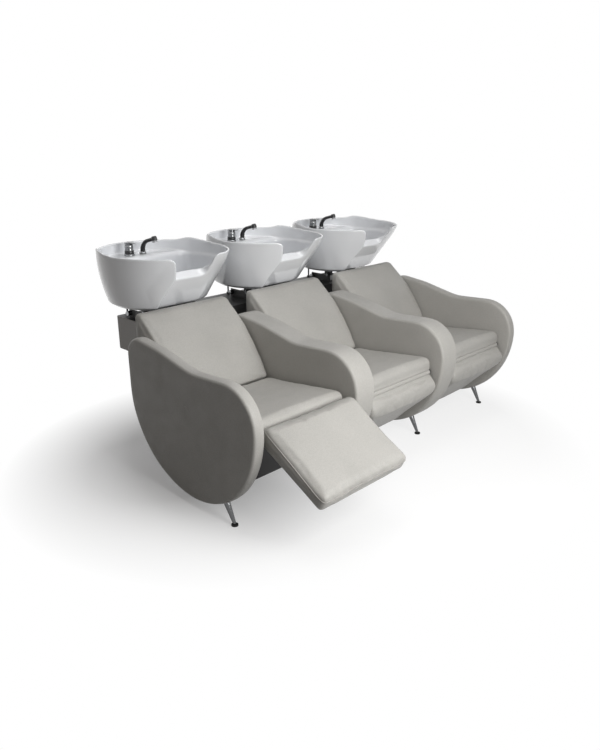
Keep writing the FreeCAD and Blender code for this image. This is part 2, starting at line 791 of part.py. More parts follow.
def rim_trim(seat):
    """What lies above the rim, leaving a low hump at each rear corner."""
    size = "(2 * bowl_rim_r + 4 * bowl_rim_long)"
    above = block(f"rim_above_{seat}", f"bowl_rim_x - {size} / 2", f"bowl_rim_y - {size} / 2",
                  "bowl_rim_z", size, size, "hump_high + overrun")
    humps = []
    for side in (-1, 1):
        hump = rod(f"rim_hump_{seat}_{side + 2}", "hump_r", f"{size} / 2", "bowl_rim_x", "bowl_rim_y",
                   "bowl_rim_z + hump_high - hump_r")
        turn = Rotation(Vector(0, 0, 1), 90 - side * (90 - value("hump_angle")))
        hump.Placement = Placement(Vector(), turn.multiply(Rotation(Vector(0, 1, 0), 90)))
        bind_place(hump, "bowl_rim_x", "bowl_rim_y", "bowl_rim_z + hump_high - hump_r")
        humps.append(hump)
    return cut(f"rim_trim_{seat}", above, *humps)


def neck_tool(seat):
    """The neck recess as a prism along Y through the front of the rim."""
    half, high = value("bib_half"), value("bowl_high")
    corners = [(half * a, value("bowl_low_z") + high * b, half * c) for a, b, c in NECK_SHARES]
    body, pad = side_body(f"basin_neck_{seat}", rounded_edges(corners), "neck_long", "neck_x", "XZ_Plane")
    bind(body, "Placement.Base.y", "bib_top_y")
    return body


def basin(seat):
    """White basin: round wall, leaning front with the neck recess, tap deck and bowl."""
    outside = round_loft(f"basin_outside_{seat}", bowl_sections(0.0))
    inside = round_loft(f"basin_inside_{seat}", bowl_sections(value("bowl_wall")))
    upper = block(f"basin_upper_{seat}", "bowl_rim_x - bowl_rim_r", "bowl_rim_y - bowl_rim_r - bowl_rim_long",
                  "deck_z", "2 * bowl_rim_r", "2 * (bowl_rim_r + bowl_rim_long)",
                  "bowl_rim_z - deck_z + overrun")
    opening = common(f"basin_opening_{seat}", inside, upper)
    over = value("overrun")
    high, low = value("bowl_rim_z") + over, value("bowl_low_z") - over
    far = value("bib_top_y") - value("bowl_rim_r")
    bib_outline = [(far, high, 0.0), (bib_y(high), high, 0.0), (bib_y(low), low, 0.0), (far, low, 0.0)]
    bib, bib_pad = side_body(f"basin_bib_{seat}", rounded_edges(bib_outline), "2 * bib_half", "neck_x")
    drain_hole = rod(f"basin_drain_{seat}", "drain_r + drain_gap", "bowl_floor_z - bowl_low_z + 2 * overrun",
                     "drain_x", "drain_y", "bowl_low_z - overrun")
    spray_hole = rod(f"basin_spray_{seat}", "spigot_r + spigot_gap", "spigot_deep + overrun",
                     "spray_x", "spray_y", "deck_z - spigot_deep")
    inset = round_loft(f"basin_inset_{seat}", bowl_sections(value("pocket_wall")))
    shelf = block(f"basin_shelf_{seat}", "bowl_rim_x - bowl_rim_r", "deck_y + pocket_gap",
                  "bowl_low_z - overrun", "2 * bowl_rim_r", "bowl_rim_r",
                  "pocket_top_z - bowl_low_z + overrun")
    pocket = common(f"basin_pocket_{seat}", inset, shelf)
    shape = cut(f"basin_solid_{seat}", outside, rim_trim(seat), opening, pocket,
                inner_bowl(seat), neck_tool(seat), bib, drain_hole, spray_hole)
    keep(f"basin_{seat}", shape, seat_x(seat))


def cradle(seat):
    """Moving plate under the basin with two ears on the tilt pin."""
    plate = block(f"cradle_plate_{seat}", "bowl_low_x - cradle_half", "cradle_front_y",
                  "bowl_low_z - cradle_thick", "2 * cradle_half", "cradle_back_y - cradle_front_y",
                  "cradle_thick")
    tongue = block(f"cradle_tongue_{seat}", "post_x - post_nut_r", "post_y - 2 * post_nut_r",
                   "bowl_low_z - cradle_thick", "bowl_low_x - post_x",
                   "cradle_back_y - post_y + 2 * post_nut_r", "cradle_thick")
    parts = [plate, tongue]
    for side in (-1, 1):
        x = f"bowl_low_x + {side} * (cradle_half - ear_thick / 2) - ear_thick / 2"
        parts.append(block(f"cradle_ear_{seat}_{side + 2}", x, "tilt_y - ear_half", "tilt_z",
                           "ear_thick", "2 * ear_half", "bowl_low_z - cradle_thick - tilt_z"))
        parts.append(rod(f"cradle_eye_{seat}_{side + 2}", "ear_r", "ear_thick", x, "tilt_y", "tilt_z", "x"))
    bore = rod(f"cradle_bore_{seat}", "pin_r + run_gap", "4 * cradle_half", "bowl_low_x - 2 * cradle_half",
               "tilt_y", "tilt_z", "x")
    hole = rod(f"cradle_drain_{seat}", "drain_r + 2 * stand_gap", "cradle_thick + 2 * overrun",
               "drain_x", "drain_y", "bowl_low_z - cradle_thick - overrun")
    shape = cut(f"cradle_cut_{seat}", fuse(f"cradle_whole_{seat}", parts), bore, hole)
    keep(f"basin_cradle_{seat}", shape, seat_x(seat))


def stand(seat):
    """Fixed stand on the duct: base, two cheeks, the tilt pin with its knob, the rear stop."""
    cheek = "(cradle_half + stand_gap)"
    parts = [block(f"stand_base_{seat}", f"bowl_low_x - {cheek} - ear_thick", "stand_front_y", "duct_top_z",
                   f"2 * {cheek} + 2 * ear_thick", "stand_back_y - stand_front_y", "stand_base")]
    for side, x in ((1, f"bowl_low_x - {cheek} - ear_thick"), (2, f"bowl_low_x + {cheek}")):
        parts.append(block(f"stand_cheek_{seat}_{side}", x, "stand_front_y", "duct_top_z", "ear_thick",
                           "stand_back_y - stand_front_y", "tilt_z - duct_top_z"))
        parts.append(rod(f"stand_eye_{seat}_{side}", "ear_r", "ear_thick", x, "tilt_y", "tilt_z", "x"))
    bore = rod(f"stand_bore_{seat}", "pin_r + run_gap", "4 * cradle_half", "bowl_low_x - 2 * cradle_half",
               "tilt_y", "tilt_z", "x")
    hole = rod(f"stand_drain_{seat}", "duct_hole_r", "stand_base + 2 * overrun", "drain_x",
               "drain_y + drain_r / 2", "duct_top_z - overrun")
    shape = cut(f"stand_cut_{seat}", fuse(f"stand_whole_{seat}", parts), bore, hole)
    bind(shape, "Placement.Base.x", seat_x(seat))
    stands.append(shape)

    outer = f"bowl_low_x - {cheek} - ear_thick"
    pin = rod(f"tilt_pin_{seat}", "pin_r", f"2 * {cheek} + 2 * ear_thick", outer, "tilt_y", "tilt_z", "x")
    head = rod(f"tilt_pin_head_{seat}", "pin_head_r", "pin_head_long", f"{outer} - pin_head_long", "tilt_y",
               "tilt_z", "x")
    knob = rod(f"tilt_knob_{seat}", "knob_r", "knob_long", f"{outer} - knob_long", "knob_y", "knob_z", "x")
    whole_pin = fuse(f"tilt_pin_whole_{seat}", [pin, head])
    bind(whole_pin, "Placement.Base.x", seat_x(seat))
    bind(knob, "Placement.Base.x", f"{outer} - knob_long + {seat_x(seat)}")
    locks.extend([whole_pin, knob])

    stem = rod(f"post_stem_{seat}", "post_r", "bowl_low_z - cradle_thick - soft_gap - duct_top_z", "post_x",
               "post_y", "duct_top_z")
    nut = rod(f"post_nut_{seat}", "post_nut_r", "post_nut_high", "post_x", "post_y", "duct_top_z")
    post = fuse(f"post_{seat}", [stem, nut])
    bind(post, "Placement.Base.x", seat_x(seat))
    posts.append(post)


def drain(seat):
    """Chrome waste: flange in the bowl and the tail that hangs into the duct."""
    flange = rod(f"drain_flange_{seat}", "drain_flange_r", "drain_flange_high", "drain_x", "drain_y",
                 "bowl_floor_z")
    tail = rod(f"drain_tail_{seat}", "drain_r", "bowl_floor_z - drain_low_z", "drain_x", "drain_y",
               "drain_low_z")
    bore = rod(f"drain_bore_{seat}", "drain_r - funnel_wall", "bowl_floor_z - drain_low_z + 2 * overrun",
               "drain_x", "drain_y", "drain_low_z - overrun")
    shape = cut(f"drain_cut_{seat}", fuse(f"drain_whole_{seat}", [flange, tail]), bore)
    keep(f"basin_drain_{seat}", shape, seat_x(seat))


def mixer(seat):
    """Deck mixer: body, turning cap and lifting lever."""
    base = rod(f"mixer_base_{seat}", "mixer_base_r", "mixer_base_high", "mixer_x", "mixer_y", "deck_z")
    body = rod(f"mixer_barrel_{seat}", "mixer_r", "mixer_high", "mixer_x", "mixer_y", "deck_z")
    keep(f"mixer_body_{seat}", fuse(f"mixer_whole_{seat}", [base, body]), seat_x(seat))

    cap_z = "deck_z + mixer_high + soft_gap"
    cap = rod(f"cap_round_{seat}", "cap_r", "cap_high", "mixer_x", "mixer_y", cap_z)
    slot = block(f"cap_slot_{seat}", "mixer_x - cap_slot / 2", "mixer_y - cap_r - overrun",
                 f"{cap_z} + cap_high - lever_thick - lever_lift", "cap_slot", "cap_r + overrun + lever_wide",
                 "lever_thick + lever_lift + overrun")
    pin_z = f"{cap_z} + cap_high - lever_thick / 2"
    hole = rod(f"cap_hole_{seat}", "lever_pin_r + run_gap", "2 * cap_r + 2 * overrun",
               "mixer_x - cap_r - overrun", "mixer_y + lever_thick", pin_z, "x")
    keep(f"mixer_cap_{seat}", cut(f"cap_cut_{seat}", cap, slot, hole), seat_x(seat))

    blade = block(f"lever_blade_{seat}", "mixer_x - lever_wide / 2", "mixer_y + lever_thick - lever_long",
                  f"{pin_z} - lever_thick / 2", "lever_wide", "lever_long", "lever_thick")
    eye = rod(f"lever_eye_{seat}", "lever_thick / 2", "lever_wide", "mixer_x - lever_wide / 2",
              "mixer_y + lever_thick", pin_z, "x")
    pin = rod(f"lever_pin_{seat}", "lever_pin_r", "2 * cap_r - lever_wide", "mixer_x - cap_r + lever_wide / 2",
              "mixer_y + lever_thick", pin_z, "x")
    keep(f"mixer_lever_{seat}", fuse(f"lever_whole_{seat}", [blade, eye, pin]), seat_x(seat))


def spray(seat):
    """Hand spray with a bent stem, standing in a collar on the deck."""
    collar = rod(f"socket_round_{seat}", "socket_r", "socket_high", "spray_x", "spray_y", "deck_z")
    bore = rod(f"socket_bore_{seat}", "spigot_r + spigot_gap", "socket_high + 2 * overrun", "spray_x",
               "spray_y", "deck_z - overrun")
    keep(f"spray_socket_{seat}", cut(f"socket_cut_{seat}", collar, bore), seat_x(seat))

    base = Vector(0, 0, value("deck_z") + value("socket_high"))
    bend = value("stem_bend_r")
    angle = math.radians(value("stem_bend_angle"))
    rise = base + Vector(0, 0, value("stem_straight"))
    half_turn = angle / 2
    middle = rise + Vector(0, -bend * (1 - math.cos(half_turn)), bend * math.sin(half_turn))
    turned = rise + Vector(0, -bend * (1 - math.cos(angle)), bend * math.sin(angle))
    ahead = Vector(0, -math.sin(angle), math.cos(angle))
    tip = turned + ahead * value("stem_run")
    path = Part.Wire([Part.LineSegment(base, rise).toShape(), Part.Arc(rise, middle, turned).toShape(),
                      Part.LineSegment(turned, tip).toShape()])
    ring = Part.Wire([Part.Circle(base, Vector(0, 0, 1), value("stem_r")).toShape()])
    stem = doc.addObject("Part::Feature", f"spray_stem_{seat}")
    stem.Shape = path.makePipeShell([ring], True, False)
    down = Vector(0, -math.cos(angle), -math.sin(angle))
    head = doc.addObject("Part::Feature", f"spray_head_{seat}")
    start = tip - down * value("stem_r")
    head.Shape = Part.makeCone(value("stem_r"), value("head_r"), value("head_high"), start, down)
    spigot = rod(f"spray_spigot_{seat}", "spigot_r", "spigot_deep + socket_high", "0", "0",
                 "deck_z - spigot_deep")
    turn = Rotation(Vector(0, 0, 1), value("spray_turn"))
    whole = fuse(f"spray_whole_{seat}", [stem, head, spigot])
    whole.Placement = Placement(Vector(), turn)
    bind_place(whole, f"spray_x + {seat_x(seat)}", "spray_y", "0")
    keep(f"hand_spray_{seat}", whole)


def duct():
    """Sheet housing open at the back, its end plates, service cover, screws and uprights."""
    sheet_thick = value("duct_sheet")
    near, far = value("duct_front_y"), value("duct_back_y")
    low, high = value("duct_low_z"), value("duct_top_z")
    outline = [
        (far, high, 0.0), (near, high, 0.0), (near, low, 0.0), (far, low, 0.0),
        (far, low + sheet_thick, 0.0), (near + sheet_thick, low + sheet_thick, 0.0),
        (near + sheet_thick, high - sheet_thick, 0.0), (far, high - sheet_thick, 0.0),
    ]
    body, pad = side_body("duct_channel", rounded_edges(outline), "2 * duct_half")
    holes = []
    for seat in SEATS:
        holes.append(rod(f"duct_hole_{seat}", "duct_hole_r", "duct_sheet + 2 * overrun",
                         f"drain_x + {seat_x(seat)}", "drain_y + drain_r / 2", "duct_top_z - overrun"))
    keep("duct_housing", cut("duct_cut", body, *holes))

    round_corner = value("end_plate_round")
    plate = [(near, low, round_corner), (far, low, round_corner), (far, high, round_corner),
             (near, high, round_corner)]
    for name, side in (("left", -1), ("right", 1)):
        body, pad = side_body(f"end_{name}", rounded_edges(plate), "end_plate_thick",
                              f"{side} * (duct_half + end_plate_thick / 2)")
        keep(f"duct_end_plate_{name}", body)

    cover = block("cover_sheet", "-duct_half", "duct_back_y", "duct_low_z", "2 * duct_half", "cover_thick",
                  "duct_top_z - duct_low_z")
    keep("duct_rear_cover", cover)
    count = int(value("screw_count"))
    screws = []
    for index in range(count):
        x = f"(duct_half - screw_inset) * ({2 * index - count + 1}) / {count - 1}"
        for level, z in (("low", "duct_low_z + screw_inset"), ("high", "duct_top_z - screw_inset")):
            screws.append(rod(f"screw_{level}_{index}", "screw_r", "screw_head", x,
                              "duct_back_y + cover_thick", z, "y"))
    keep("cover_screws", group("cover_screw_group", screws))

    columns = []
    for index in (-1, 0, 1):
        column = block(f"upright_{index + 2}", "-upright_wide / 2", "upright_y - upright_deep / 2",
                       "base_thick", "upright_wide", "upright_deep", "duct_low_z - base_thick")
        foot = block(f"upright_foot_{index + 2}", "-upright_base_wide / 2", "upright_y - upright_base_deep / 2",
                     "0", "upright_base_wide", "upright_base_deep", "base_thick")
        holes = [block(f"upright_room_{index + 2}", "pedestal_wall - upright_wide / 2",
                       "upright_y - upright_deep / 2 + pedestal_wall", "-overrun",
                       "upright_wide - 2 * pedestal_wall", "upright_deep - 2 * pedestal_wall",
                       "duct_low_z + 2 * overrun")]
        for side in (-1, 1):
            for end in (-1, 1):
                holes.append(rod(f"upright_hole_{index + 2}_{side + 2}_{end + 2}", "anchor_r",
                                 "base_thick + 2 * overrun",
                                 f"{side} * (upright_base_wide / 2 - anchor_inset / 1.5)",
                                 f"upright_y + {end} * (upright_base_deep / 2 - anchor_inset)", "-overrun"))
        whole = cut(f"upright_cut_{index + 2}", fuse(f"upright_whole_{index + 2}", [column, foot]), *holes)
        bind(whole, "Placement.Base.x", f"({index}) * upright_x")
        columns.append(whole)
    keep("duct_uprights", group("upright_group", columns))


def plumbing():
    """Hot and cold manifolds and the waste pipe with a funnel under each basin."""
    mains = []
    for name, z in (("hot", "hot_z"), ("cold", "cold_z")):
        mains.append(rod(f"main_{name}", "pipe_r", "2 * duct_half", "-duct_half", "pipe_y", z, "x"))
    keep("water_manifolds", group("main_group", mains))
    y = "drain_y + drain_r / 2"
    parts = [rod("waste_main", "waste_r", "2 * duct_half", "-duct_half", y, "waste_z", "x")]
    bores = []
    for seat in SEATS:
        x = f"drain_x + {seat_x(seat)}"
        parts.append(rod(f"funnel_{seat}", "funnel_r", "funnel_top_z - waste_z", x, y, "waste_z"))
        bores.append(rod(f"funnel_bore_{seat}", "funnel_r - funnel_wall", "funnel_top_z - waste_z", x, y,
                         "waste_z + waste_r"))
    keep("waste_pipe", cut("waste_cut", fuse("waste_whole", parts), *bores))


legs, feet, bushes, stands, locks, posts = [], [], [], [], [], []
side_panels()
for seat in SEATS:
    seat_cushions(seat)
    legrest(seat)
    seat_frame(seat)
    pedestal(seat)
    basin(seat)
    cradle(seat)
    stand(seat)
    drain(seat)
    mixer(seat)
    spray(seat)
keep("front_legs", group("front_leg_group", legs))
keep("leg_feet", group("leg_foot_group", feet))
keep("hinge_bushes", group("hinge_bush_group", bushes))
keep("basin_stands", group("basin_stand_group", stands))
keep("tilt_locks", group("tilt_lock_group", locks))
keep("rear_stops", group("rear_stop_group", posts))
duct()
plumbing()

doc.recompute()

problems = []
for feature in doc.Objects:
    if "Invalid" in feature.State or "Error" in feature.State:
        problems.append(f"{feature.Label}: {feature.State}")
for name, feature in pieces.items():
    if feature.Shape.isNull() or not feature.Shape.isValid():
        problems.append(f"{name}: no valid shape")
    elif not feature.Shape.Solids:
        problems.append(f"{name}: no solid")
if problems:
    raise RuntimeError("; ".join(problems))

os.makedirs("parts", exist_ok=True)
for name, feature in pieces.items():
    feature.Shape.exportStep(f"parts/{name}.step")
print(len(pieces), "nodes written")
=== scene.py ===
"""Three-seat hair washing bed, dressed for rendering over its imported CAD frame.

Metres, X along the row, +Y towards the basins, +Z up, floor at z = 0.
"""

import math

import bmesh
import bpy
import numpy as np
from mathutils import Matrix, Vector, noise
from mathutils.bvhtree import BVHTree


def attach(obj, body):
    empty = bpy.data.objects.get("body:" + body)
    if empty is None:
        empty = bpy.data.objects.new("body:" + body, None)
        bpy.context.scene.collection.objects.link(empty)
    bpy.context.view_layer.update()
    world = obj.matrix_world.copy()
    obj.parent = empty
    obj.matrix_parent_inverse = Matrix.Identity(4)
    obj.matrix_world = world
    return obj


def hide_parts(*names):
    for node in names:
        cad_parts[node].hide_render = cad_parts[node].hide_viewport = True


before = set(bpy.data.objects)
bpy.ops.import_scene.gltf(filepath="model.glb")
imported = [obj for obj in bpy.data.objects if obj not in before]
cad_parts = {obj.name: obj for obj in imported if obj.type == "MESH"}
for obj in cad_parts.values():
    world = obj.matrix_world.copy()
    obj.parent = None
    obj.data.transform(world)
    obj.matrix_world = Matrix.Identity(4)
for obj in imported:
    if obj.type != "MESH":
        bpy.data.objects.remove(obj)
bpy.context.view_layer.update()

SEATS = {1: -0.660, 2: 0.0, 3: 0.660}
PANELS = {1: (-0.9545, 0.059), 2: (-0.330, 0.130), 3: (0.330, 0.130), 4: (0.9545, 0.059)}
HINGE = (-0.424, 0.400)
OPEN = math.radians(211.3)
FOLD = math.radians(105.0)


def mm(*numbers):
    """Millimetres to metres."""
    return tuple(number / 1000.0 for number in numbers)


# Materials

def new_material(name, color, metallic=0.0, **sockets):
    """A node material with its constant numbers on the shader's own sockets."""
    material = bpy.data.materials.new(name)
    material.use_nodes = True
    material.diffuse_color = (*color, 1.0)
    tree = material.node_tree
    shader = tree.nodes["Principled BSDF"]
    shader.inputs["Base Color"].default_value = (*color, 1.0)
    shader.inputs["Metallic"].default_value = metallic
    for socket, number in sockets.items():
        shader.inputs[socket.replace("_", " ")].default_value = number
    return material, tree, shader


def coordinates(tree):
    """Object coordinates, so the grain stays with the piece."""
    return tree.nodes.new("ShaderNodeTexCoord").outputs["Object"]


def noise_field(tree, place, scale, detail, roughness=0.5, stretch=None):
    """A noise pattern, its scale in cycles per metre."""
    if stretch:
        mapping = tree.nodes.new("ShaderNodeMapping")
        mapping.inputs["Scale"].default_value = stretch
        tree.links.new(place, mapping.inputs["Vector"])
        place = mapping.outputs["Vector"]
    texture = tree.nodes.new("ShaderNodeTexNoise")
    texture.inputs["Scale"].default_value = scale
    texture.inputs["Detail"].default_value = detail
    texture.inputs["Roughness"].default_value = roughness
    tree.links.new(place, texture.inputs["Vector"])
    return texture.outputs["Fac"]


def cells(tree, place, scale):
    """Rounded cells, for the pebbles of leather."""
    texture = tree.nodes.new("ShaderNodeTexVoronoi")
    texture.feature = "SMOOTH_F1"
    texture.inputs["Scale"].default_value = scale
    texture.inputs["Smoothness"].default_value = 0.6
    tree.links.new(place, texture.inputs["Vector"])
    return texture.outputs["Distance"]


def spread(tree, field, low, high, start=0.3, end=0.7):
    """A field's middle range mapped between two numbers."""
    step = tree.nodes.new("ShaderNodeMapRange")
    step.inputs["From Min"].default_value = start
    step.inputs["From Max"].default_value = end
    step.inputs["To Min"].default_value = low
    step.inputs["To Max"].default_value = high
    tree.links.new(field, step.inputs["Value"])
    return step.outputs["Result"]


def shades(tree, field, stops):
    """A colour ramp over a field."""
    ramp = tree.nodes.new("ShaderNodeValToRGB")
    ramp.color_ramp.interpolation = "EASE"
    while len(ramp.color_ramp.elements) < len(stops):
        ramp.color_ramp.elements.new(0.5)
    for element, (position, color) in zip(ramp.color_ramp.elements, stops):
        element.position = position
        element.color = (*color, 1.0)
    tree.links.new(field, ramp.inputs["Fac"])
    return ramp.outputs["Color"]


def blended(tree, factor, first, second, kind="MIX"):
    """Two colours mixed by a factor that is a number or a socket."""
    mix = tree.nodes.new("ShaderNodeMix")
    mix.data_type = "RGBA"
    mix.blend_type = kind
    for socket, item in ((mix.inputs[0], factor), (mix.inputs[6], first), (mix.inputs[7], second)):
        if hasattr(item, "node"):
            tree.links.new(item, socket)
        elif isinstance(item, tuple):
            socket.default_value = (*item, 1.0)
        else:
            socket.default_value = item
    return mix.outputs[2]


def bumps(tree, shader, layers, round_edges=0.0):
    """Bump layers, each a height field with its strength and depth, over rounded edges if asked."""
    normal = None
    if round_edges:
        edge = tree.nodes.new("ShaderNodeBevel")
        edge.samples = 4
        edge.inputs["Radius"].default_value = round_edges
        normal = edge.outputs["Normal"]
    for height, strength, depth in layers:
        bump = tree.nodes.new("ShaderNodeBump")
        bump.inputs["Strength"].default_value = strength
        bump.inputs["Distance"].default_value = depth
        tree.links.new(height, bump.inputs["Height"])
        if normal:
            tree.links.new(normal, bump.inputs["Normal"])
        normal = bump.outputs["Normal"]
    tree.links.new(normal, shader.inputs["Normal"])


def scaled(color, factor):
    """A colour made lighter or darker."""
    return tuple(min(1.0, channel * factor) for channel in color)


def edge_wear(tree, low, high):
    """Where the surface is convex, for light wear on corners."""
    geometry = tree.nodes.new("ShaderNodeNewGeometry")
    return spread(tree, geometry.outputs["Pointiness"], low, high, 0.51, 0.56)


def leather(name, color):
    """Smooth upholstery leather: pebbled grain, soft undulation, faint creases and rubbed edges."""
    material, tree, shader = new_material(name, color, Specular_IOR_Level=0.42, Sheen_Weight=0.06,
                                          Sheen_Roughness=0.5)
    place = coordinates(tree)
    cloud = noise_field(tree, place, 3.2, 4.0, 0.55)
    fine = noise_field(tree, place, 260.0, 3.0, 0.6)
    grain = cells(tree, place, 520.0)
    tone = shades(tree, cloud, [(0.30, scaled(color, 0.93)), (0.52, color), (0.74, scaled(color, 1.06))])
    speck = shades(tree, fine, [(0.30, (0.90, 0.90, 0.90)), (0.60, (1.0, 1.0, 1.0))])
    pores = shades(tree, grain, [(0.25, (1.0, 1.0, 1.0)), (0.75, (0.90, 0.89, 0.88))])
    tone = blended(tree, 1.0, tone, speck, "MULTIPLY")
    tone = blended(tree, 1.0, tone, pores, "MULTIPLY")
    tone = blended(tree, edge_wear(tree, 0.0, 0.30), tone, scaled(color, 1.25))
    tree.links.new(tone, shader.inputs["Base Color"])
    tree.links.new(spread(tree, noise_field(tree, place, 22.0, 5.0, 0.6), 0.44, 0.60), shader.inputs["Roughness"])
    folds = noise_field(tree, place, 14.0, 3.0, 0.5, (1.0, 0.55, 0.55))
    bumps(tree, shader, [(folds, 0.25, 0.004), (grain, 0.35, -0.0006), (fine, 0.20, 0.0003)])
    return material


def glaze(name, color):
    """Thick white glaze over ceramic: deep gloss with a faint wave and pinholes."""
    material, tree, shader = new_material(name, color, Coat_Weight=0.7, Coat_Roughness=0.03, Coat_IOR=1.5)
    place = coordinates(tree)
    wave = noise_field(tree, place, 9.0, 3.0, 0.5)
    speck = noise_field(tree, place, 420.0, 2.0, 0.5)
    tone = shades(tree, wave, [(0.35, scaled(color, 0.985)), (0.65, color)])
    dots = shades(tree, speck, [(0.22, (0.93, 0.92, 0.90)), (0.30, (1.0, 1.0, 1.0))])
    tree.links.new(blended(tree, 1.0, tone, dots, "MULTIPLY"), shader.inputs["Base Color"])
    tree.links.new(spread(tree, noise_field(tree, place, 30.0, 4.0), 0.05, 0.16), shader.inputs["Roughness"])
    bumps(tree, shader, [(wave, 0.12, 0.004), (speck, 0.05, 0.0002)])
    return material


def polished(name, color, low, high):
    """Plated metal with faint handling marks."""
    material, tree, shader = new_material(name, color, 1.0)
    place = coordinates(tree)
    marks = noise_field(tree, place, 60.0, 6.0, 0.7, (1.0, 1.0, 4.0))
    smear = noise_field(tree, place, 18.0, 3.0, 0.5)
    tone = shades(tree, smear, [(0.35, scaled(color, 0.94)), (0.65, color)])
    tree.links.new(tone, shader.inputs["Base Color"])
    tree.links.new(spread(tree, marks, low, high), shader.inputs["Roughness"])
    bumps(tree, shader, [(smear, 0.05, 0.001), (marks, 0.04, 0.0002)], 0.0006)
    return material


def powder_coat(name, color, wear):
    """Fine orange-peel powder coat, a little lighter where corners are rubbed."""
    material, tree, shader = new_material(name, color, Specular_IOR_Level=0.5)
    place = coordinates(tree)
    peel = noise_field(tree, place, 700.0, 2.0, 0.5)
    cloud = noise_field(tree, place, 6.0, 4.0, 0.6)
    tone = shades(tree, cloud, [(0.30, scaled(color, 0.86)), (0.70, scaled(color, 1.14))])
    tone = blended(tree, edge_wear(tree, 0.0, 0.6), tone, wear)
    tree.links.new(tone, shader.inputs["Base Color"])
    tree.links.new(spread(tree, cloud, 0.34, 0.50), shader.inputs["Roughness"])
    bumps(tree, shader, [(peel, 0.28, 0.0004)], 0.0012)
    return material


def plain_grain(name, color, low, high, metallic=0.0):
    """Moulded or turned surface with a soft mottled grain."""
    material, tree, shader = new_material(name, color, metallic)
    place = coordinates(tree)
    mottle = noise_field(tree, place, 24.0, 4.0, 0.6)
    grain = noise_field(tree, place, 540.0, 3.0, 0.6)
    tone = shades(tree, mottle, [(0.30, scaled(color, 0.80)), (0.70, scaled(color, 1.15))])
    tree.links.new(tone, shader.inputs["Base Color"])
    tree.links.new(spread(tree, mottle, low, high), shader.inputs["Roughness"])
    bumps(tree, shader, [(grain, 0.30, 0.0005)], 0.0008)
    return material


UPHOLSTERY = leather("upholstery_leather", (0.445, 0.436, 0.412))
# Darker copy of the upholstery leather for the seam cord: painted shade of the seam's crease, the piping being the
# same leather
WELT_PAINTED_SHADE = leather("welt_leather_painted_shade", (0.360, 0.350, 0.330))
CERAMIC = glaze("white_glaze", (0.86, 0.875, 0.90))
# Chrome colour held well below real plating: painted dark reflection, standing in for dark surroundings that the white
# world lacks
CHROME = polished("chrome_painted_dark_reflection", (0.30, 0.305, 0.31), 0.05, 0.13)
# Darker copy of the chrome for the legs: painted shade, standing in for the dark floor and underside they reflect
LEG_CHROME_PAINTED_SHADE = polished("leg_chrome_painted_shade", (0.125, 0.127, 0.130), 0.06, 0.14)
GRIP = plain_grain("black_grip", (0.012, 0.012, 0.014), 0.22, 0.36)
MATERIALS = {
    "chrome": CHROME,
    "upholstery": UPHOLSTERY,
    "black_steel": powder_coat("black_powder_coat", (0.018, 0.018, 0.020), (0.10, 0.10, 0.10)),
    "grey_steel": powder_coat("grey_powder_coat", (0.230, 0.210, 0.190), (0.40, 0.38, 0.36)),
    "bronze": plain_grain("bush_bronze", (0.50, 0.31, 0.12), 0.25, 0.45, 1.0),
    "copper": plain_grain("pipe_copper", (0.72, 0.34, 0.20), 0.22, 0.48, 1.0),
    "grey_plastic": plain_grain("pipe_plastic", (0.13, 0.135, 0.14), 0.38, 0.55),
    "rubber": plain_grain("foot_rubber", (0.016, 0.016, 0.016), 0.62, 0.85),
    "screw_steel": plain_grain("zinc_plate", (0.52, 0.53, 0.55), 0.28, 0.46, 1.0),
}


# Mesh tools

def make_object(name, points, faces, materials, indices=None, smooth=True):
    """A mesh object from points and faces, normals outwards."""
    mesh = bpy.data.meshes.new(name)
    mesh.from_pydata([tuple(point) for point in points], [], faces)
    for material in materials:
        mesh.materials.append(material)
    if indices:
        mesh.polygons.foreach_set("material_index", indices)
    work = bmesh.new()
    work.from_mesh(mesh)
    bmesh.ops.recalc_face_normals(work, faces=work.faces)
    work.to_mesh(mesh)
    work.free()
    mesh.polygons.foreach_set("use_smooth", [smooth] * len(mesh.polygons))
    piece = bpy.data.objects.new(name, mesh)
    bpy.context.collection.objects.link(piece)
    return piece


def linked_copy(name, source):
    """Another object of the same mesh and modifiers."""
    piece = bpy.data.objects.new(name, source.data)
    bpy.context.collection.objects.link(piece)
    for old in source.modifiers:
        if old.type == "SUBSURF":
            subdivide(piece, old.render_levels)
    return piece


def subdivide(piece, levels):
    """A subdivision surface for the last smoothness."""
    step = piece.modifiers.new("Subdivision", "SUBSURF")
    step.levels = levels
    step.render_levels = levels


def baked(piece):
    """The piece with its modifiers applied."""
    graph = bpy.context.evaluated_depsgraph_get()
    mesh = bpy.data.meshes.new_from_object(piece.evaluated_get(graph))
    piece.modifiers.clear()
    piece.data = mesh
    mesh.polygons.foreach_set("use_smooth", [True] * len(mesh.polygons))
    return mesh


def points_of(mesh):
    """The mesh's points as an array."""
    flat = np.empty(len(mesh.vertices) * 3)
    mesh.vertices.foreach_get("co", flat)
    return flat.reshape(-1, 3)


def normals_of(mesh):
    """The mesh's point normals as an array."""
    flat = np.empty(len(mesh.vertices) * 3)
    mesh.vertex_normals.foreach_get("vector", flat)
    return flat.reshape(-1, 3)


def set_points(mesh, points):
    """Points written back to the mesh."""
    mesh.vertices.foreach_set("co", points.ravel())
    mesh.update()


def relax(mesh, rounds):
    """Each point moves halfway towards the mean of its neighbours, several times."""
    points = points_of(mesh)
    count = len(points)
    edges = np.empty(len(mesh.edges) * 2, dtype=np.int32)
    mesh.edges.foreach_get("vertices", edges)
    first, second = edges.reshape(-1, 2).T
    degree = np.maximum(np.bincount(edges, minlength=count), 1)
    for _ in range(rounds):
        for axis in range(3):
            column = points[:, axis]
            total = np.bincount(first, column[second], count) + np.bincount(second, column[first], count)
            points[:, axis] = column + (total / degree - column) * 0.5
    set_points(mesh, points)


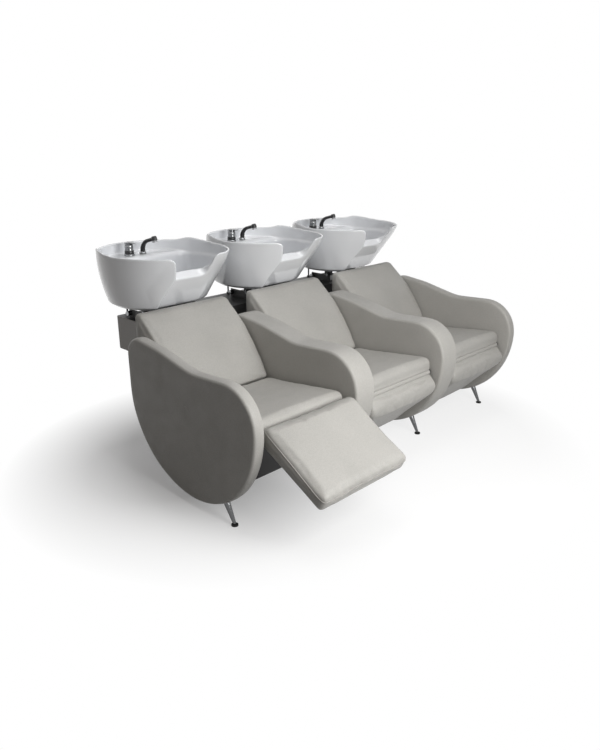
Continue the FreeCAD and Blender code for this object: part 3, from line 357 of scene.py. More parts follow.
def ripple(mesh, size, wave, seed):
    """A slight unevenness along the normals, as hand-laid upholstery has."""
    points, normals = points_of(mesh), normals_of(mesh)
    offset = Vector((seed, seed * 1.7, seed * 0.6))
    lift = np.array([noise.noise(Vector(point) / wave + offset) for point in points])
    set_points(mesh, points + normals * (lift * size)[:, None])


def bridge(loops):
    """Faces between neighbouring loops of equal count, numbered one after the other."""
    count = len(loops[0])
    faces = []
    for row in range(len(loops) - 1):
        for item in range(count):
            nearby = (item + 1) % count
            faces.append((row * count + item, row * count + nearby, (row + 1) * count + nearby,
                          (row + 1) * count + item))
    return faces


def turned(profile, origin, axis=(0, 0, 1), sides=40):
    """A turned form: radius and height pairs about an axis, closed at both ends."""
    turn = Vector((0, 0, 1)).rotation_difference(Vector(axis)).to_matrix()
    origin = Vector(origin)
    loops = []
    for radius, height in profile:
        loops.append([origin + turn @ Vector((radius * math.cos(2 * math.pi * i / sides),
                                              radius * math.sin(2 * math.pi * i / sides), height))
                      for i in range(sides)])
    return capped(loops)


def capped(loops):
    """Loops joined by faces, the first and last closed by a fan."""
    count = len(loops[0])
    points = [point for loop in loops for point in loop]
    faces = bridge(loops)
    for row, loop in ((0, loops[0]), (len(loops) - 1, loops[-1])):
        middle = sum((Vector(point) for point in loop), Vector()) / count
        points.append(middle)
        for item in range(count):
            faces.append((row * count + item, row * count + (item + 1) % count, len(points) - 1))
    return points, faces


def swept(path, radii, sides, flatten=1.0):
    """A tube along a path that rises or runs back, a radius at each point, flattened square to X if asked."""
    wide = Vector((1, 0, 0))
    loops = []
    for index, point in enumerate(path):
        ahead = (path[min(index + 1, len(path) - 1)] - path[max(index - 1, 0)]).normalized()
        side = (wide - ahead * wide.dot(ahead)).normalized()
        top = ahead.cross(side)
        radius = radii[index]
        loops.append([point + side * radius * math.cos(2 * math.pi * i / sides)
                      + top * radius * flatten * math.sin(2 * math.pi * i / sides) for i in range(sides)])
    return capped(loops)


def joined(name, shapes, materials):
    """One object of several shapes, each with the number of its material."""
    points, faces, indices = [], [], []
    for (part_points, part_faces), material in shapes:
        start = len(points)
        points.extend(part_points)
        faces.extend([tuple(start + item for item in face) for face in part_faces])
        indices.extend([material] * len(part_faces))
    return make_object(name, points, faces, materials, indices)


# Soft forms

ARC_STEPS = 5
POINT_SPACING, ROW_SPACING = 0.018, 0.022
VOXEL, CLOTH_FRAMES = 0.0055, 20
WELT_RADIUS, WELT_LIFT = 0.0019, 0.0006


def corner_arc(before, corner, after, radius, steps, reach=0.49):
    """Points of the round at a corner, which takes at most a share of its shorter side."""
    inward, outward = (before - corner).normalized(), (after - corner).normalized()
    half = inward.angle(outward) / 2
    cut = min(radius / math.tan(half), reach * min((before - corner).length, (after - corner).length))
    radius = cut * math.tan(half)
    middle = corner + (inward + outward).normalized() * (radius / math.sin(half))
    start, end = corner + inward * cut - middle, corner + outward * cut - middle
    sweep = math.atan2(start.x * end.y - start.y * end.x, start.dot(end))
    first = math.atan2(start.y, start.x)
    return [middle + Vector((math.cos(first + sweep * i / steps), math.sin(first + sweep * i / steps))) * radius
            for i in range(steps + 1)]


def round_loop(corners, spans):
    """A closed outline through rounded corners, with a fixed number of points on each side."""
    count = len(corners)
    places = [Vector(corner[:2]) for corner in corners]
    arcs = [corner_arc(places[i - 1], places[i], places[(i + 1) % count], corners[i][2], ARC_STEPS)
            for i in range(count)]
    loop = []
    for i in range(count):
        loop.extend(arcs[i])
        start, end = arcs[i][-1], arcs[(i + 1) % count][0]
        loop.extend(start.lerp(end, step / spans[i]) for step in range(1, spans[i]))
    return loop


def round_in(distance, radius):
    """How far a rounded edge draws in at a distance from its end."""
    if distance >= radius:
        return 0.0
    return radius - math.sqrt(max(0.0, radius ** 2 - (radius - distance) ** 2))


def slab(name, corners, half, edge, soft, crown, plan):
    """A cushion: its side view swept across X, with rounded ends, a crown and rounded plan corners.

    soft has each side's share of the crown, plan the larger round of the sides that have one.
    """
    count = len(corners)
    places = [Vector(corner[:2]) for corner in corners]
    centre = sum(places, Vector((0, 0))) / count
    spans = [max(2, round((places[(i + 1) % count] - places[i]).length / POINT_SPACING)) for i in range(count)]

    def outline(distance):
        lines = []
        rise = math.sin(math.pi / 2 * min(1.0, distance / half) ** 0.75)
        for i in range(count):
            start, end = places[i], places[(i + 1) % count]
            along = (end - start).normalized()
            inward = Vector((-along.y, along.x))
            if inward.dot(centre - start) < 0:
                inward = -inward
            draw = round_in(distance, plan.get(i, edge)) - crown * soft[i] * rise
            lines.append((start + inward * draw, along, max(0.0, draw)))
        fresh = []
        for i in range(count):
            (a, u, draw_a), (b, v, draw_b) = lines[i - 1], lines[i]
            share = ((b - a).x * v.y - (b - a).y * v.x) / (u.x * v.y - u.y * v.x)
            place = a + u * share
            fresh.append((place.x, place.y, max(corners[i][2] - 0.5 * max(draw_a, draw_b), 0.35 * corners[i][2])))
        return round_loop(fresh, spans)

    widest = max([edge] + list(plan.values()))
    stops = [widest * (1 - math.cos(math.radians(angle))) for angle in range(0, 91, 10)]
    inner = max(2, round((half - widest) / ROW_SPACING))
    stops += [widest + (half - widest) * i / inner for i in range(1, inner + 1)]
    rows = [(-half + stop, outline(stop)) for stop in stops]
    rows += [(-x, loop) for x, loop in reversed(rows[:-1])]
    loops = []
    for x, loop in rows:
        loops.append([Vector((x, point.x, point.y)) for point in loop])
    for end in (0, -1):
        x, loop = rows[end]
        middle = sum(loop, Vector((0, 0))) / len(loop)
        rings = [[Vector((x, *(middle + (point - middle) * share))) for point in loop]
                 for share in (0.93, 0.78, 0.55, 0.30)]
        loops = rings[::-1] + loops if end == 0 else loops + rings
    points, faces = capped(loops)
    return make_object(name, points, faces, [UPHOLSTERY])


def inflate(piece, half, cap, firm):
    """Pressure on the cover as cloth: remeshed, blown a little, capped and kept off its neighbours."""
    step = piece.modifiers.new("Remesh", "REMESH")
    step.mode = "VOXEL"
    step.voxel_size = VOXEL
    mesh = baked(piece)
    relax(mesh, 2)
    start, normals = points_of(mesh).copy(), normals_of(mesh)
    cloth = piece.modifiers.new("Cloth", "CLOTH")
    settings = cloth.settings
    settings.quality = 4
    settings.mass = 0.3
    settings.tension_stiffness = 40
    settings.compression_stiffness = 40
    settings.shear_stiffness = 20
    settings.bending_stiffness = 2.0
    settings.use_pressure = True
    settings.uniform_pressure_force = 4.0
    settings.effector_weights.gravity = 0.0
    cloth.collision_settings.use_self_collision = False
    cloth.point_cache.frame_start = 1
    cloth.point_cache.frame_end = CLOTH_FRAMES
    scene = bpy.context.scene
    for number in range(1, CLOTH_FRAMES + 1):
        scene.frame_set(number)
    mesh = baked(piece)
    scene.frame_set(1)
    moved = points_of(mesh) - start
    length = np.linalg.norm(moved, axis=1)
    moved *= (np.minimum(length, cap) / np.maximum(length, 1e-9))[:, None]
    moved *= firm(start, normals)[:, None]
    fresh = start + moved
    fresh[:, 0] = np.clip(fresh[:, 0], -half, half)
    set_points(mesh, fresh)
    relax(mesh, 3)


def welt(name, piece, path):
    """Corded seam laid on the cushion's surface along a path."""
    graph = bpy.context.evaluated_depsgraph_get()
    tree = BVHTree.FromObject(piece, graph)
    laid = []
    for point in path:
        place, normal, _, _ = tree.find_nearest(Vector(point))
        laid.append(place + normal * WELT_LIFT)
    smooth = [laid[0]]
    for i in range(1, len(laid) - 1):
        smooth.append((laid[i - 1] + laid[i] * 2 + laid[i + 1]) / 4)
    smooth.append(laid[-1])
    return swept_seam(name, smooth, WELT_RADIUS)


def swept_seam(name, path, radius):
    """A thin round cord on a path that may turn any way."""
    loops, side = [], None
    for i, point in enumerate(path):
        ahead = (path[min(i + 1, len(path) - 1)] - path[max(i - 1, 0)]).normalized()
        side = (ahead.orthogonal() if side is None else side - ahead * side.dot(ahead)).normalized()
        top = ahead.cross(side)
        loops.append([point + side * radius * math.cos(math.pi * j / 4) + top * radius * math.sin(math.pi * j / 4)
                      for j in range(8)])
    points, faces = capped(loops)
    # The cord takes the darker leather copy, painted shade.
    return make_object(name, points, faces, [WELT_PAINTED_SHADE])


def finish_soft(piece, body, slot_name, *nodes):
    """Rides and replaces its CAD solid."""
    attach(piece, body)
    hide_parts(*nodes)


# Camera

lens = bpy.data.cameras.new("photo_camera")
lens.sensor_width = 36.0
lens.lens = 32.891
camera = bpy.data.objects.new("photo_camera", lens)
camera.location = (-2.5162, -2.2496, 1.5467)
camera.rotation_euler = (math.radians(70.27), 0.0, math.radians(-45.28))
bpy.context.collection.objects.link(camera)
bpy.context.scene.camera = camera


# Side panels

PANEL_R = 0.417
PANEL_MIDDLE = Vector((-0.075, 0.455))
PANEL_REAR = 0.05
PANEL_SPACING = 0.022


def panel_outline():
    """Closed outline of a side panel in YZ: half round below, soft arm line above, a fuller rear."""
    top = [(-1.0, 0.0, 0.0), (-1.0, 0.451, 0.408), (-0.072, 0.396, 0.72), (0.444, 0.511, 0.96), (1.0, 0.58, 0.211),
           (1.0, 0.0, 0.0)]
    places = [PANEL_MIDDLE + Vector((a, b)) * PANEL_R for a, b, _ in top]
    loop = [PANEL_MIDDLE + Vector((math.cos(-math.pi * i / 60), math.sin(-math.pi * i / 60))) * PANEL_R
            for i in range(61)]
    ends = [places[0]]
    for i in range(1, len(top) - 1):
        arc = corner_arc(places[i - 1], places[i], places[i + 1], top[i][2] * PANEL_R, 9, 0.98)
        gap = (arc[0] - ends[-1]).length
        steps = max(1, round(gap / PANEL_SPACING))
        loop.extend(ends[-1].lerp(arc[0], step / steps) for step in range(1, steps))
        loop.extend(arc)
        ends.append(arc[-1])
    steps = max(1, round((places[-1] - ends[-1]).length / PANEL_SPACING))
    loop.extend(ends[-1].lerp(places[-1], step / steps) for step in range(1, steps))
    for point in loop:
        point.x += PANEL_REAR * max(0.0, point.x - PANEL_MIDDLE.x)
    return loop


def inset_loop(loop, draw):
    """The outline moved inwards along its own normals."""
    count = len(loop)
    fresh = []
    for i, point in enumerate(loop):
        along = (loop[(i + 1) % count] - loop[i - 1]).normalized()
        normal = Vector((along.y, -along.x))
        if normal.dot(point - PANEL_MIDDLE) < 0:
            normal = -normal
        fresh.append(point - normal * draw)
    return fresh


def side_panel(name, wide):
    """Upholstered panel: band, soft edges, a slight shoulder and flat faces."""
    outline = panel_outline()
    half, edge, sag = wide / 2, 0.014, 0.0016
    rows = []
    flat_steps = max(2, round((half - edge) / 0.012))
    for i in range(flat_steps):
        x = (half - edge) * i / flat_steps
        rows.append((x, -0.0015 * (1 - (x / half) ** 2)))
    for angle in range(0, 91, 15):
        turn = math.radians(angle)
        rows.append((half - edge + (edge - sag) * math.sin(turn), edge * (1 - math.cos(turn))))
    rows += [(half - sag * 0.55, 0.024), (half - sag * 0.15, 0.040), (half, 0.062)]
    rows = [(-x, draw) for x, draw in reversed(rows[1:])] + rows
    loops = [[Vector((x, *point)) for point in inset_loop(outline, draw)] for x, draw in rows]
    for end in (0, -1):
        x = rows[end][0]
        last = [Vector(point[1:]) for point in loops[end]]
        rings = [[Vector((x, *(PANEL_MIDDLE + (point - PANEL_MIDDLE) * share))) for point in last]
                 for share in (0.86, 0.68, 0.48, 0.25, 0.08)]
        loops = rings[::-1] + loops if end == 0 else loops + rings
    points, faces = capped(loops)
    piece = make_object(name, points, faces, [UPHOLSTERY])
    ripple(piece.data, 0.0009, 0.16, wide * 40)
    subdivide(piece, 1)
    return piece


first_panels = {}
for number, (x, wide) in PANELS.items():
    name = f"panel_{number}"
    if wide in first_panels:
        piece = linked_copy(name, first_panels[wide])
    else:
        piece = first_panels[wide] = side_panel(name, wide)
    piece.location.x = x
    finish_soft(piece, "row", "upholstery", f"side_panel_{number}")


# Cushions

def seat_form():
    """Seat cushion with a high rounded front."""
    corners = [mm(55, 415, 10), mm(-434, 470, 34), mm(-435, 412, 11), mm(55, 346, 10)]
    piece = slab("seat_form", corners, 0.263, 0.012, (1.0, 0.15, 0.0, 0.0), 0.006, {1: 0.028})
    inflate(piece, 0.263, 0.007, lambda points, normals: np.where(normals[:, 2] < -0.3, 0.1, 1.0))
    ripple(piece.data, 0.0010, 0.09, 3.0)
    return piece


def back_form():
    """Leaning backrest pad, its front bowed forward between the seat and the rounded top."""
    corners = [mm(57, 419, 8), mm(150, 350, 12), mm(386, 648, 15), mm(386, 769, 16), mm(352, 769, 14),
               mm(286, 717, 120), mm(214, 656, 160), mm(152, 580, 160), mm(97, 500, 160)]
    piece = slab("back_form", corners, 0.258, 0.010, (0.0, 0.0, 0.0, 0.3) + (1.0,) * 5, 0.003, {3: 0.018})
    inflate(piece, 0.2615, 0.004, lambda points, normals: np.where(normals[:, 1] > 0.2, 0.2, 1.0))
    ripple(piece.data, 0.0010, 0.09, 7.0)
    return piece


def unfold(along, square):
    """From the legrest's own slope to YZ about its hinge, open."""
    return (along * math.cos(OPEN) + square * math.sin(OPEN), along * math.sin(OPEN) - square * math.cos(OPEN))


def legrest_form():
    """Legrest pad about its hinge, open."""
    corners = [(*unfold(*mm(-4, 91)), 0.038), (*unfold(*mm(372, 91)), 0.015), (*unfold(*mm(382, 27)), 0.013),
               (*unfold(*mm(-5, 4)), 0.017)]
    piece = slab("legrest_form", corners, 0.255, 0.014, (1.0, 0.3, 0.0, 0.0), 0.006, {1: 0.020, 3: 0.020})
    under = np.array(unfold(0.0, -1.0))
    inflate(piece, 0.258, 0.007,
            lambda points, normals: np.where(normals[:, 1:] @ under > 0.3, 0.1, 1.0))
    ripple(piece.data, 0.0010, 0.09, 11.0)
    return piece


def legrest_welt(piece):
    """Seam between the pad's top and its side band, round three sides."""
    half, root, tip, corner, height = 0.255, 0.010, 0.3745, 0.020, 0.074
    path = []
    for i in range(31):
        path.append((-half, root + (tip - corner - root) * i / 30))
    for i in range(1, 9):
        turn = math.pi / 2 * i / 9
        path.append((-half + corner * (1 - math.cos(turn)), tip - corner + corner * math.sin(turn)))
    for i in range(41):
        path.append((-half + corner + (2 * half - 2 * corner) * i / 40, tip))
    path += [(-x, along) for x, along in reversed(path[:39])]
    return welt("legrest_welt", piece, [(x, *unfold(along, height)) for x, along in path])


def hinge_roll():
    """Leather sleeve over the legrest's shaft, seen in the crease below the seat."""
    half, radius, rim = 0.243, 0.0130, 0.004
    profile = [(radius - rim, -half)] + [(radius, -half + rim + 2 * (half - rim) * i / 40) for i in range(41)]
    points, faces = turned(profile + [(radius - rim, half)], (0, 0, 0), (1, 0, 0), 28)
    return make_object("hinge_roll", points, faces, [UPHOLSTERY])


seat_piece, back_piece, legrest_piece = seat_form(), back_form(), legrest_form()
for piece in (seat_piece, back_piece, legrest_piece):
    subdivide(piece, 1)
welt_piece, roll_piece = legrest_welt(legrest_piece), hinge_roll()

for k, x in SEATS.items():
    for source, name, node in ((seat_piece, "seat_pad", "seat_cushion"), (back_piece, "back_pad", "backrest_cushion")):
        piece = linked_copy(f"{name}_{k}", source)
        piece.location.x = x
        finish_soft(piece, "row", "upholstery", f"{node}_{k}")
    pad = linked_copy(f"legrest_pad_{k}", legrest_piece)
    seam = linked_copy(f"legrest_seam_{k}", welt_piece)
    roll = linked_copy(f"legrest_roll_{k}", roll_piece)
    for piece in (pad, seam, roll):
        piece.location = (x, *HINGE)
        piece.rotation_euler.x = 0.0 if k == 1 else FOLD
    bpy.context.view_layer.update()
    finish_soft(pad, f"legrest_{k}", "upholstery", f"legrest_cushion_{k}")
    for piece in (seam, roll):
        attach(piece, f"legrest_{k}")
for piece in (seat_piece, back_piece, legrest_piece, welt_piece, roll_piece):
    bpy.data.objects.remove(piece)


# Basins

BASIN_GRID = ((-282.0, 226.0, 736.0), (342.0, 874.0, 1034.0), 4.2)
FOOT_Z, RIM_Z = 745.0, 1010.0
EAR_LINE = ((745, 806, 848, 883, 903, 942, 976, 1000, 1060), (-113, -108, -97, -83, -75, -79, -87, -92, -99))


def smooth_max(first, second, soft):
    """The larger of two fields, rounded where they meet."""
    share = np.clip(0.5 + 0.5 * (first - second) / soft, 0.0, 1.0)
    return second + (first - second) * share + soft * share * (1.0 - share)


def smooth_min(first, second, soft):
    """The smaller of two fields, rounded where they meet."""
    return -smooth_max(-first, -second, soft)


def pot_field(x, y, z):
    """Outside of the round wall: a wide foot, then a swelling oval that leans forward to its rim."""
    high = np.clip((z - FOOT_Z) / (RIM_Z - FOOT_Z), 0.0, 1.0)
    rest = 1.0 - high
    swell = (1.0 - rest ** 1.6) ** 0.9
    steep = 0.343 * rest ** 0.6 / np.maximum(1.0 - rest ** 1.6, 0.02) ** 0.1
    across, along = x - 35.0 + 10.0 * high, y - 605.0 + 68.0 * high
    turn = math.radians(118.0)
    long = across * math.cos(turn) + along * math.sin(turn)
    short = along * math.cos(turn) - across * math.sin(turn)
    far, near = 245.0 + 76.0 * swell, 245.0 + 46.0 * swell
    field = (np.hypot(long / far, short / near) - 1.0) * 0.5 * (far + near) / np.hypot(1.0, steep)
    return field + 9.0 * np.clip((759.0 - z) / 5.0, 0.0, 1.0)


def basin_field(x, y, z):
    """Distance to the ceramic's skin, near enough, in millimetres about the seat's middle."""
    # outside: the pot, cut off right of the ear line by a leaning apron and a slanting flank
    pot = pot_field(x, y, z)
    heights = np.arange(700.0, 1100.0)
    ear = np.convolve(np.pad(np.interp(heights, *EAR_LINE), 12, "edge"), np.ones(25) / 25.0, "valid")
    ear = x - np.interp(z, heights, ear)
    apron = (310.0 + (925.0 - z) * math.tan(math.radians(38.0)) - y) * math.cos(math.radians(38.0))
    flank = (0.831 * (x - 30.0) - 0.556 * (y - 570.0) - 315.0 + 0.47 * (950.0 - z)) / 1.105
    shell = smooth_max(pot, smooth_min(smooth_max(apron, flank, 70.0), ear, 12.0), 12.0)
    # inside: the bowl in front of the tap deck, thick at the neck rest, and the room above the deck
    rest = np.exp(-((z - 905.0) / 42.0) ** 2) * np.exp(-((x - 18.0) / 135.0) ** 4)
    wall = shell + 15.0 + 42.0 * rest
    bowl = smooth_max(smooth_max(wall, 785.0 - z, 75.0), y - 700.0, 46.0)
    upper = smooth_max(shell + 14.0, 955.0 - z, 8.0)
    solid = smooth_max(shell, -smooth_min(bowl, upper, 26.0), 8.0)
    # the neck recess, and the rim with its two humps
    saddle = (898.0 + 0.80 * (y - 330.0) - z) * 0.78
    neck = smooth_max(smooth_max(smooth_max(saddle, -ear, 26.0), x - 117.0, 40.0), y - 430.0, 10.0)
    top = RIM_Z - z
    for angle in (28.0, 152.0):
        turn = math.radians(angle)
        side = (x - 30.0) * math.sin(turn) - (y - 545.0) * math.cos(turn)
        ahead = (x - 30.0) * math.cos(turn) + (y - 545.0) * math.sin(turn)
        reach = np.where(side * math.cos(turn) > 0.0, 95.0, 44.0)
        top = top + 15.5 * np.exp(-(side / reach) ** 2) * (ahead > 0.0)
    solid = smooth_max(solid, -smooth_min(neck, top, 30.0), 9.0)
    # the hollow under the tap deck, the waste hole and the flat foot
    pocket = np.maximum(np.maximum(pot + 18.0, 722.0 - y), z - 930.0)
    solid = smooth_max(solid, -pocket, 8.0)
    solid = smooth_max(solid, 38.0 - np.hypot(x - 40.0, y - 545.0), 5.0)
    return smooth_max(solid, FOOT_Z - z, 12.0)


def surface_net(field, low, step):
    """Quads round a field's zero surface, each corner at the mean crossing of its cell."""
    shape = tuple(size - 1 for size in field.shape)
    total, count = np.zeros((3, *shape)), np.zeros(shape)
    for axis in range(3):
        first, second = (other for other in range(3) if other != axis)
        for one in (0, 1):
            for two in (0, 1):
                start = [0, 0, 0]
                start[first], start[second] = one, two
                near = field[tuple(slice(a, a + n) for a, n in zip(start, shape))]
                start[axis] = 1
                far = field[tuple(slice(a, a + n) for a, n in zip(start, shape))]
                cross = (near < 0.0) != (far < 0.0)
                total[axis] += np.where(cross, near / np.where(cross, near - far, 1.0), 0.0)
                total[first] += cross * float(one)
                total[second] += cross * float(two)
                count += cross
    used = count > 0
    number = np.full(shape, -1)
    number[used] = np.arange(used.sum())
    points = np.array(low) + (np.argwhere(used) + (total[:, used] / count[used]).T) * step
    faces = []
    inside = field < 0.0
    for axis in range(3):
        first, second = (other for other in range(3) if other != axis)
        change = np.diff(inside.astype(np.int8), axis=axis)
        at = np.argwhere(change != 0)
        corners = []
        for one, two in ((0, 0), (1, 0), (1, 1), (0, 1)):
            cell = at.copy()
            cell[:, first] -= one
            cell[:, second] -= two
            corners.append(number[tuple(cell.T)])
        faces.append(np.stack(corners, 1))
    return points, np.concatenate(faces)


def settle(points):
    """Points moved onto the basin's zero surface."""
    for _ in range(2):
        here = basin_field(*points.T)
        slope = np.stack([basin_field(*(points + nudge).T) - here for nudge in np.eye(3)])
        points = points - (slope * here / np.maximum((slope ** 2).sum(0), 0.25)).T
    return points


def basin_form():
    """The ceramic as one glazed skin about the middle of its seat."""
    low, high, step = BASIN_GRID
    x, y, z = (np.arange(start, end + step, step) for start, end in zip(low, high))
    field = basin_field(x[:, None, None], y[None, :, None], z[None, None, :])
    points, faces = surface_net(field, low, step)
    piece = make_object("basin_form", points / 1000.0, faces.tolist(), [CERAMIC])
    relax(piece.data, 3)
    set_points(piece.data, settle(points_of(piece.data) * 1000.0) / 1000.0)
    relax(piece.data, 3)
    return piece


basin_piece = basin_form()
for k, x in SEATS.items():
    piece = linked_copy(f"ceramic_basin_{k}", basin_piece)
    piece.location.x = x
    bpy.context.view_layer.update()
    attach(piece, f"basin_{k}")
    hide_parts(f"basin_{k}")
bpy.data.objects.remove(basin_piece)


# Mixers and hand sprays

def soft_profile(pairs):
    """Radius and height pairs in millimetres to metres."""
    return [mm(radius, height) for radius, height in pairs]


MIXER = (-0.028, 0.755)
SPRAY = (0.050, 0.755)
DECK = 0.955


def mixer_shapes(x):
    """Flange, dark foot ring and slightly waisted barrel."""
    base = (x + MIXER[0], MIXER[1], DECK)
    foot = soft_profile([(25, 0), (26, 0.6), (26, 5), (25.2, 7), (23.8, 8)])
    ring = soft_profile([(23.0, 7.6), (23.4, 8.4), (22.6, 25), (21.8, 26)])
    barrel = soft_profile([(20.8, 25.6), (21.3, 26.4), (20.8, 29), (20.5, 35), (20.8, 44), (20.8, 48.6), (20.2, 49.6),
                           (19.4, 50)])
    return [(turned(foot, base), 0), (turned(ring, base), 1), (turned(barrel, base), 0)]


def lever_shape(x):
    """Flat blade that widens and turns up a little towards its tip."""
    root = Vector((x + MIXER[0], 0.7645, 1.0183))
    path, radii = [], []
    for i in range(15):
        share = i / 14
        path.append(root + Vector((0, -0.0665 * share, 0.0042 * share ** 3)))
        blunt = 1.0 - 0.85 * max(0.0, (share - 0.86) / 0.14) ** 2 - 0.6 * max(0.0, (0.06 - share) / 0.06)
        radii.append((0.0050 + 0.0014 * share) * blunt)
    return swept(path, radii, 20, 0.50)


def spray_shapes(x):
    """Black tapering handle that bends forward, its head and the chrome nozzle."""
    turn = Matrix.Rotation(math.radians(12.0), 3, "Z")
    origin = Vector((x + SPRAY[0], SPRAY[1], DECK + 0.012))
    bend, straight, run, angle = 0.055, 0.004, 0.046, math.radians(75.0)
    path, radii = [], []

    def add(y, z, radius):
        path.append(origin + turn @ Vector((0, y, z)))
        radii.append(radius)

    add(0, -0.004, 0.0106)
    add(0, 0.0, 0.0122)
    for i in range(17):
        share = i / 16
        step = angle * share
        add(-bend * (1 - math.cos(step)), straight + bend * math.sin(step), 0.0128 - 0.0040 * share)
    for i in range(1, 8):
        share = i / 7
        y = -bend * (1 - math.cos(angle)) - math.sin(angle) * run * share
        z = straight + bend * math.sin(angle) + math.cos(angle) * run * share
        add(y, z, 0.0088 + 0.0010 * share)
    tip = path[-1]
    ahead = turn @ Vector((0, -math.sin(angle), math.cos(angle)))
    path += [tip + ahead * 0.003, tip + ahead * 0.0055]
    radii += [0.0085, 0.0050]
    down = turn @ Vector((0, -math.cos(angle), -math.sin(angle)))
    head = soft_profile([(6.0, -13.2), (10.8, -12.2), (13.2, -9.0), (14.2, -4.0), (14.4, 7.0), (13.6, 8.4)])
    nozzle = soft_profile([(11.6, 8.0), (11.9, 9.0), (12.2, 13.0), (12.6, 15.8), (12.3, 17.0), (10.6, 17.3),
                           (10.2, 16.2), (6.0, 15.9)])
    return [(swept(path, radii, 24), 0), (turned(head, tip, down), 0), (turned(nozzle, tip, down), 1)]


def collar_shape(x):
    """Chrome collar round the spray's foot."""
    base = (x + SPRAY[0], SPRAY[1], DECK)
    return turned(soft_profile([(16.4, 0), (17, 0.6), (17, 6.5), (16.2, 8.6), (13.6, 11.4), (12.4, 12), (11.6, 11.4),
                                (11.4, 9.0)]), base)


for k, x in SEATS.items():
    mixer = joined(f"mixer_barrel_{k}", mixer_shapes(x), [CHROME, GRIP])
    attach(mixer, f"basin_{k}")
    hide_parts(f"mixer_body_{k}")
    lever = joined(f"mixer_blade_{k}", [(lever_shape(x), 0)], [CHROME])
    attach(lever, f"lever_{k}")
    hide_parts(f"mixer_lever_{k}")
    spray = joined(f"spray_handle_{k}", spray_shapes(x), [GRIP, CHROME])
    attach(spray, f"spray_{k}")
    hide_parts(f"hand_spray_{k}")
    collar = joined(f"spray_collar_{k}", [(collar_shape(x), 0)], [CHROME])
    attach(collar, f"basin_{k}")
    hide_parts(f"spray_socket_{k}")


# Front legs

def leg_shape(x):
    """Splayed tapering leg with its round plate under the panel."""
    lean = math.radians(28.9)
    down = Vector((0, -math.sin(lean), -math.cos(lean)))
    start = Vector((x, *PANEL_MIDDLE)) + down * (PANEL_R - 0.007)
    length = (start.z - 0.0055) / math.cos(lean)
    plate = [(23.2, 0), (24, 0.8), (24, 4.2), (23.2, 5)]
    cone = [(14, 5), (14, 9)]
    steps = 8
    for i in range(1, steps):
        cone.append((14 - 7 * i / steps, 9 + (length * 1000 - 12) * i / steps))
    cone += [(7, length * 1000 - 3), (6.4, length * 1000 - 0.6)]
    return turned(soft_profile(plate + cone), start, down)


# The legs take the darker chrome copy, painted shade.
legs = joined("splayed_legs", [(leg_shape(x), 0) for x, _ in PANELS.values()], [LEG_CHROME_PAINTED_SHADE])
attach(legs, "row")
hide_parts("front_legs")


# CAD parts that stay get their finish

FINISHES = (("leg_feet", "rubber"), ("hinge_bushes", "bronze"), ("tilt_locks", "chrome"), ("mixer_", "chrome"),
            ("basin_drain", "chrome"), ("water_manifolds", "copper"), ("waste_pipe", "grey_plastic"),
            ("cover_screws", "screw_steel"), ("duct_end_plate", "grey_steel"), ("side_panel", "upholstery"),
            ("seat_cushion", "upholstery"), ("backrest", "upholstery"), ("legrest_cushion", "upholstery"))
for name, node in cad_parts.items():
    slot_name = next((slot for start, slot in FINISHES if name.startswith(start)), "black_steel")
    for slot in node.material_slots:
        slot.material = MATERIALS[slot_name]


# Floor, background and light

WHITE = (1.0, 1.0, 1.0)


def larger(tree, first, second):
    """The larger of two numbers."""
    step = tree.nodes.new("ShaderNodeMath")
    step.operation = "MAXIMUM"
    tree.links.new(first, step.inputs[0])
    tree.links.new(second, step.inputs[1])
    return step.outputs[0]


def mixed(tree, share, first, second, surface):
    """Two shaders mixed by a share and given to the output's surface."""
    mix = tree.nodes.new("ShaderNodeMixShader")
    for socket, item in zip(mix.inputs, (share, first, second)):
        tree.links.new(item, socket)
    tree.links.new(mix.outputs[0], surface)


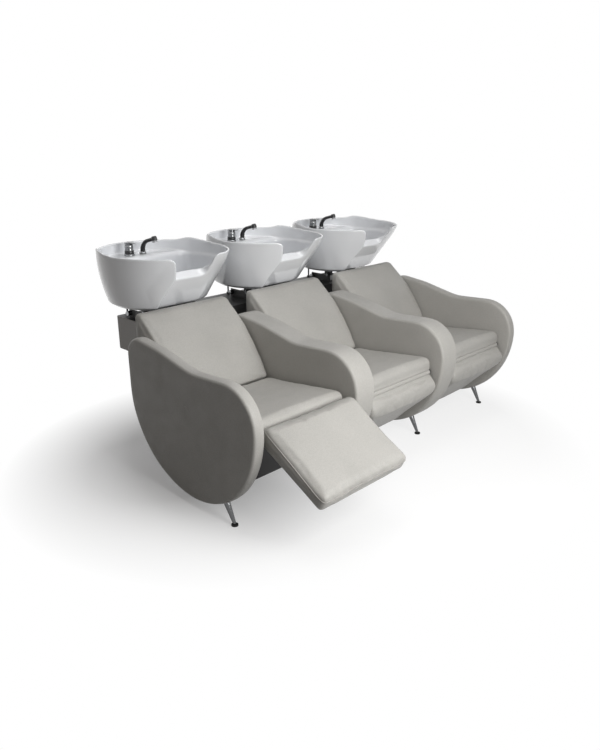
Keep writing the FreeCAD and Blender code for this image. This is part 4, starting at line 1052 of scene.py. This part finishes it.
def plain_floor():
    """Pale floor that keeps the object's shadow; to the camera it turns white further out, and glows least round a
    spot left of and behind the row, partly painted shadow.
    """
    material, tree, shader = new_material("pale_floor", (0.80, 0.80, 0.80), Specular_IOR_Level=0.1)
    shader.inputs["Roughness"].default_value = 0.8
    path = tree.nodes.new("ShaderNodeLightPath")
    seen = larger(tree, path.outputs["Is Camera Ray"], path.outputs["Is Glossy Ray"])
    tree.links.new(blended(tree, seen, (0.22, 0.22, 0.22), (0.95, 0.95, 0.95)), shader.inputs["Base Color"])
    glow = tree.nodes.new("ShaderNodeEmission")
    glow.inputs["Color"].default_value = (*WHITE, 1.0)
    glow.inputs["Strength"].default_value = 1.0
    whiter = tree.nodes.new("ShaderNodeMath")
    whiter.operation = "ADD"
    whiter.use_clamp = True
    # The first distance is from the spot where the shadow falls: the shadow there is real light, deepened by less
    # glow, partly painted shadow.
    for socket, middle, low, high, start, end in ((0, (-0.85, 0.35, 0.0), 0.22, 0.78, 0.35, 1.15),
                                                  (1, (0.0, 0.0, 0.0), 0.0, 0.85, 1.05, 2.10)):
        distance = tree.nodes.new("ShaderNodeVectorMath")
        distance.operation = "DISTANCE"
        distance.inputs[1].default_value = middle
        tree.links.new(coordinates(tree), distance.inputs[0])
        tree.links.new(spread(tree, distance.outputs["Value"], low, high, start, end), whiter.inputs[socket])
    share = tree.nodes.new("ShaderNodeMath")
    share.operation = "MULTIPLY"
    tree.links.new(whiter.outputs[0], share.inputs[0])
    tree.links.new(seen, share.inputs[1])
    mixed(tree, share.outputs[0], shader.outputs[0], glow.outputs[0], tree.nodes["Material Output"].inputs["Surface"])
    size = 14.0
    points = [(-size, -size, 0), (size, -size, 0), (size, size, 0), (-size, size, 0)]
    floor = make_object("studio_floor", points, [(0, 1, 2, 3)], [material], smooth=False)


def studio_world():
    """White to the eye and in reflections; as light, a dim fill that is weaker and warmer from the left."""
    world = bpy.data.worlds.new("studio_world")
    bpy.context.scene.world = world
    world.use_nodes = True
    tree = world.node_tree
    tree.nodes.clear()
    output = tree.nodes.new("ShaderNodeOutputWorld")
    path = tree.nodes.new("ShaderNodeLightPath")
    seen = larger(tree, path.outputs["Is Camera Ray"], path.outputs["Is Glossy Ray"])
    through = larger(tree, seen, path.outputs["Is Transmission Ray"])
    white = tree.nodes.new("ShaderNodeBackground")
    white.inputs["Color"].default_value = (*WHITE, 1.0)
    direction = tree.nodes.new("ShaderNodeTexCoord")
    split = tree.nodes.new("ShaderNodeSeparateXYZ")
    tree.links.new(direction.outputs["Generated"], split.inputs[0])
    fill = tree.nodes.new("ShaderNodeBackground")
    tint = shades(tree, spread(tree, split.outputs["X"], 0.0, 1.0, -1.0, 1.0),
                  [(0.0, (1.0, 0.80, 0.66)), (0.6, (0.98, 0.99, 1.0))])
    tree.links.new(tint, fill.inputs["Color"])
    tree.links.new(spread(tree, split.outputs["X"], 0.03, 0.30, -1.0, 1.0), fill.inputs["Strength"])
    mixed(tree, through, fill.outputs[0], white.outputs[0], output.inputs["Surface"])


def lamp(name, place, target, size, power, color=WHITE):
    """Square soft light aimed at a point."""
    data = bpy.data.lights.new(name, "AREA")
    data.shape = "SQUARE"
    data.size = size
    data.energy = power
    data.color = color
    light = bpy.data.objects.new(name, data)
    light.visible_camera = False
    light.location = place
    light.rotation_euler = (Vector(target) - Vector(place)).to_track_quat("-Z", "Y").to_euler()
    bpy.context.collection.objects.link(light)


plain_floor()
studio_world()
lamp("key_light", (-0.45, -2.0, 1.25), (-0.40, 0.0, 0.45), 1.4, 40.0, (1.0, 0.998, 0.99))
lamp("top_light", (-0.4, -0.2, 3.6), (-0.3, -0.1, 0.4), 2.0, 30.0)

bpy.context.scene.view_settings.view_transform = "Standard"
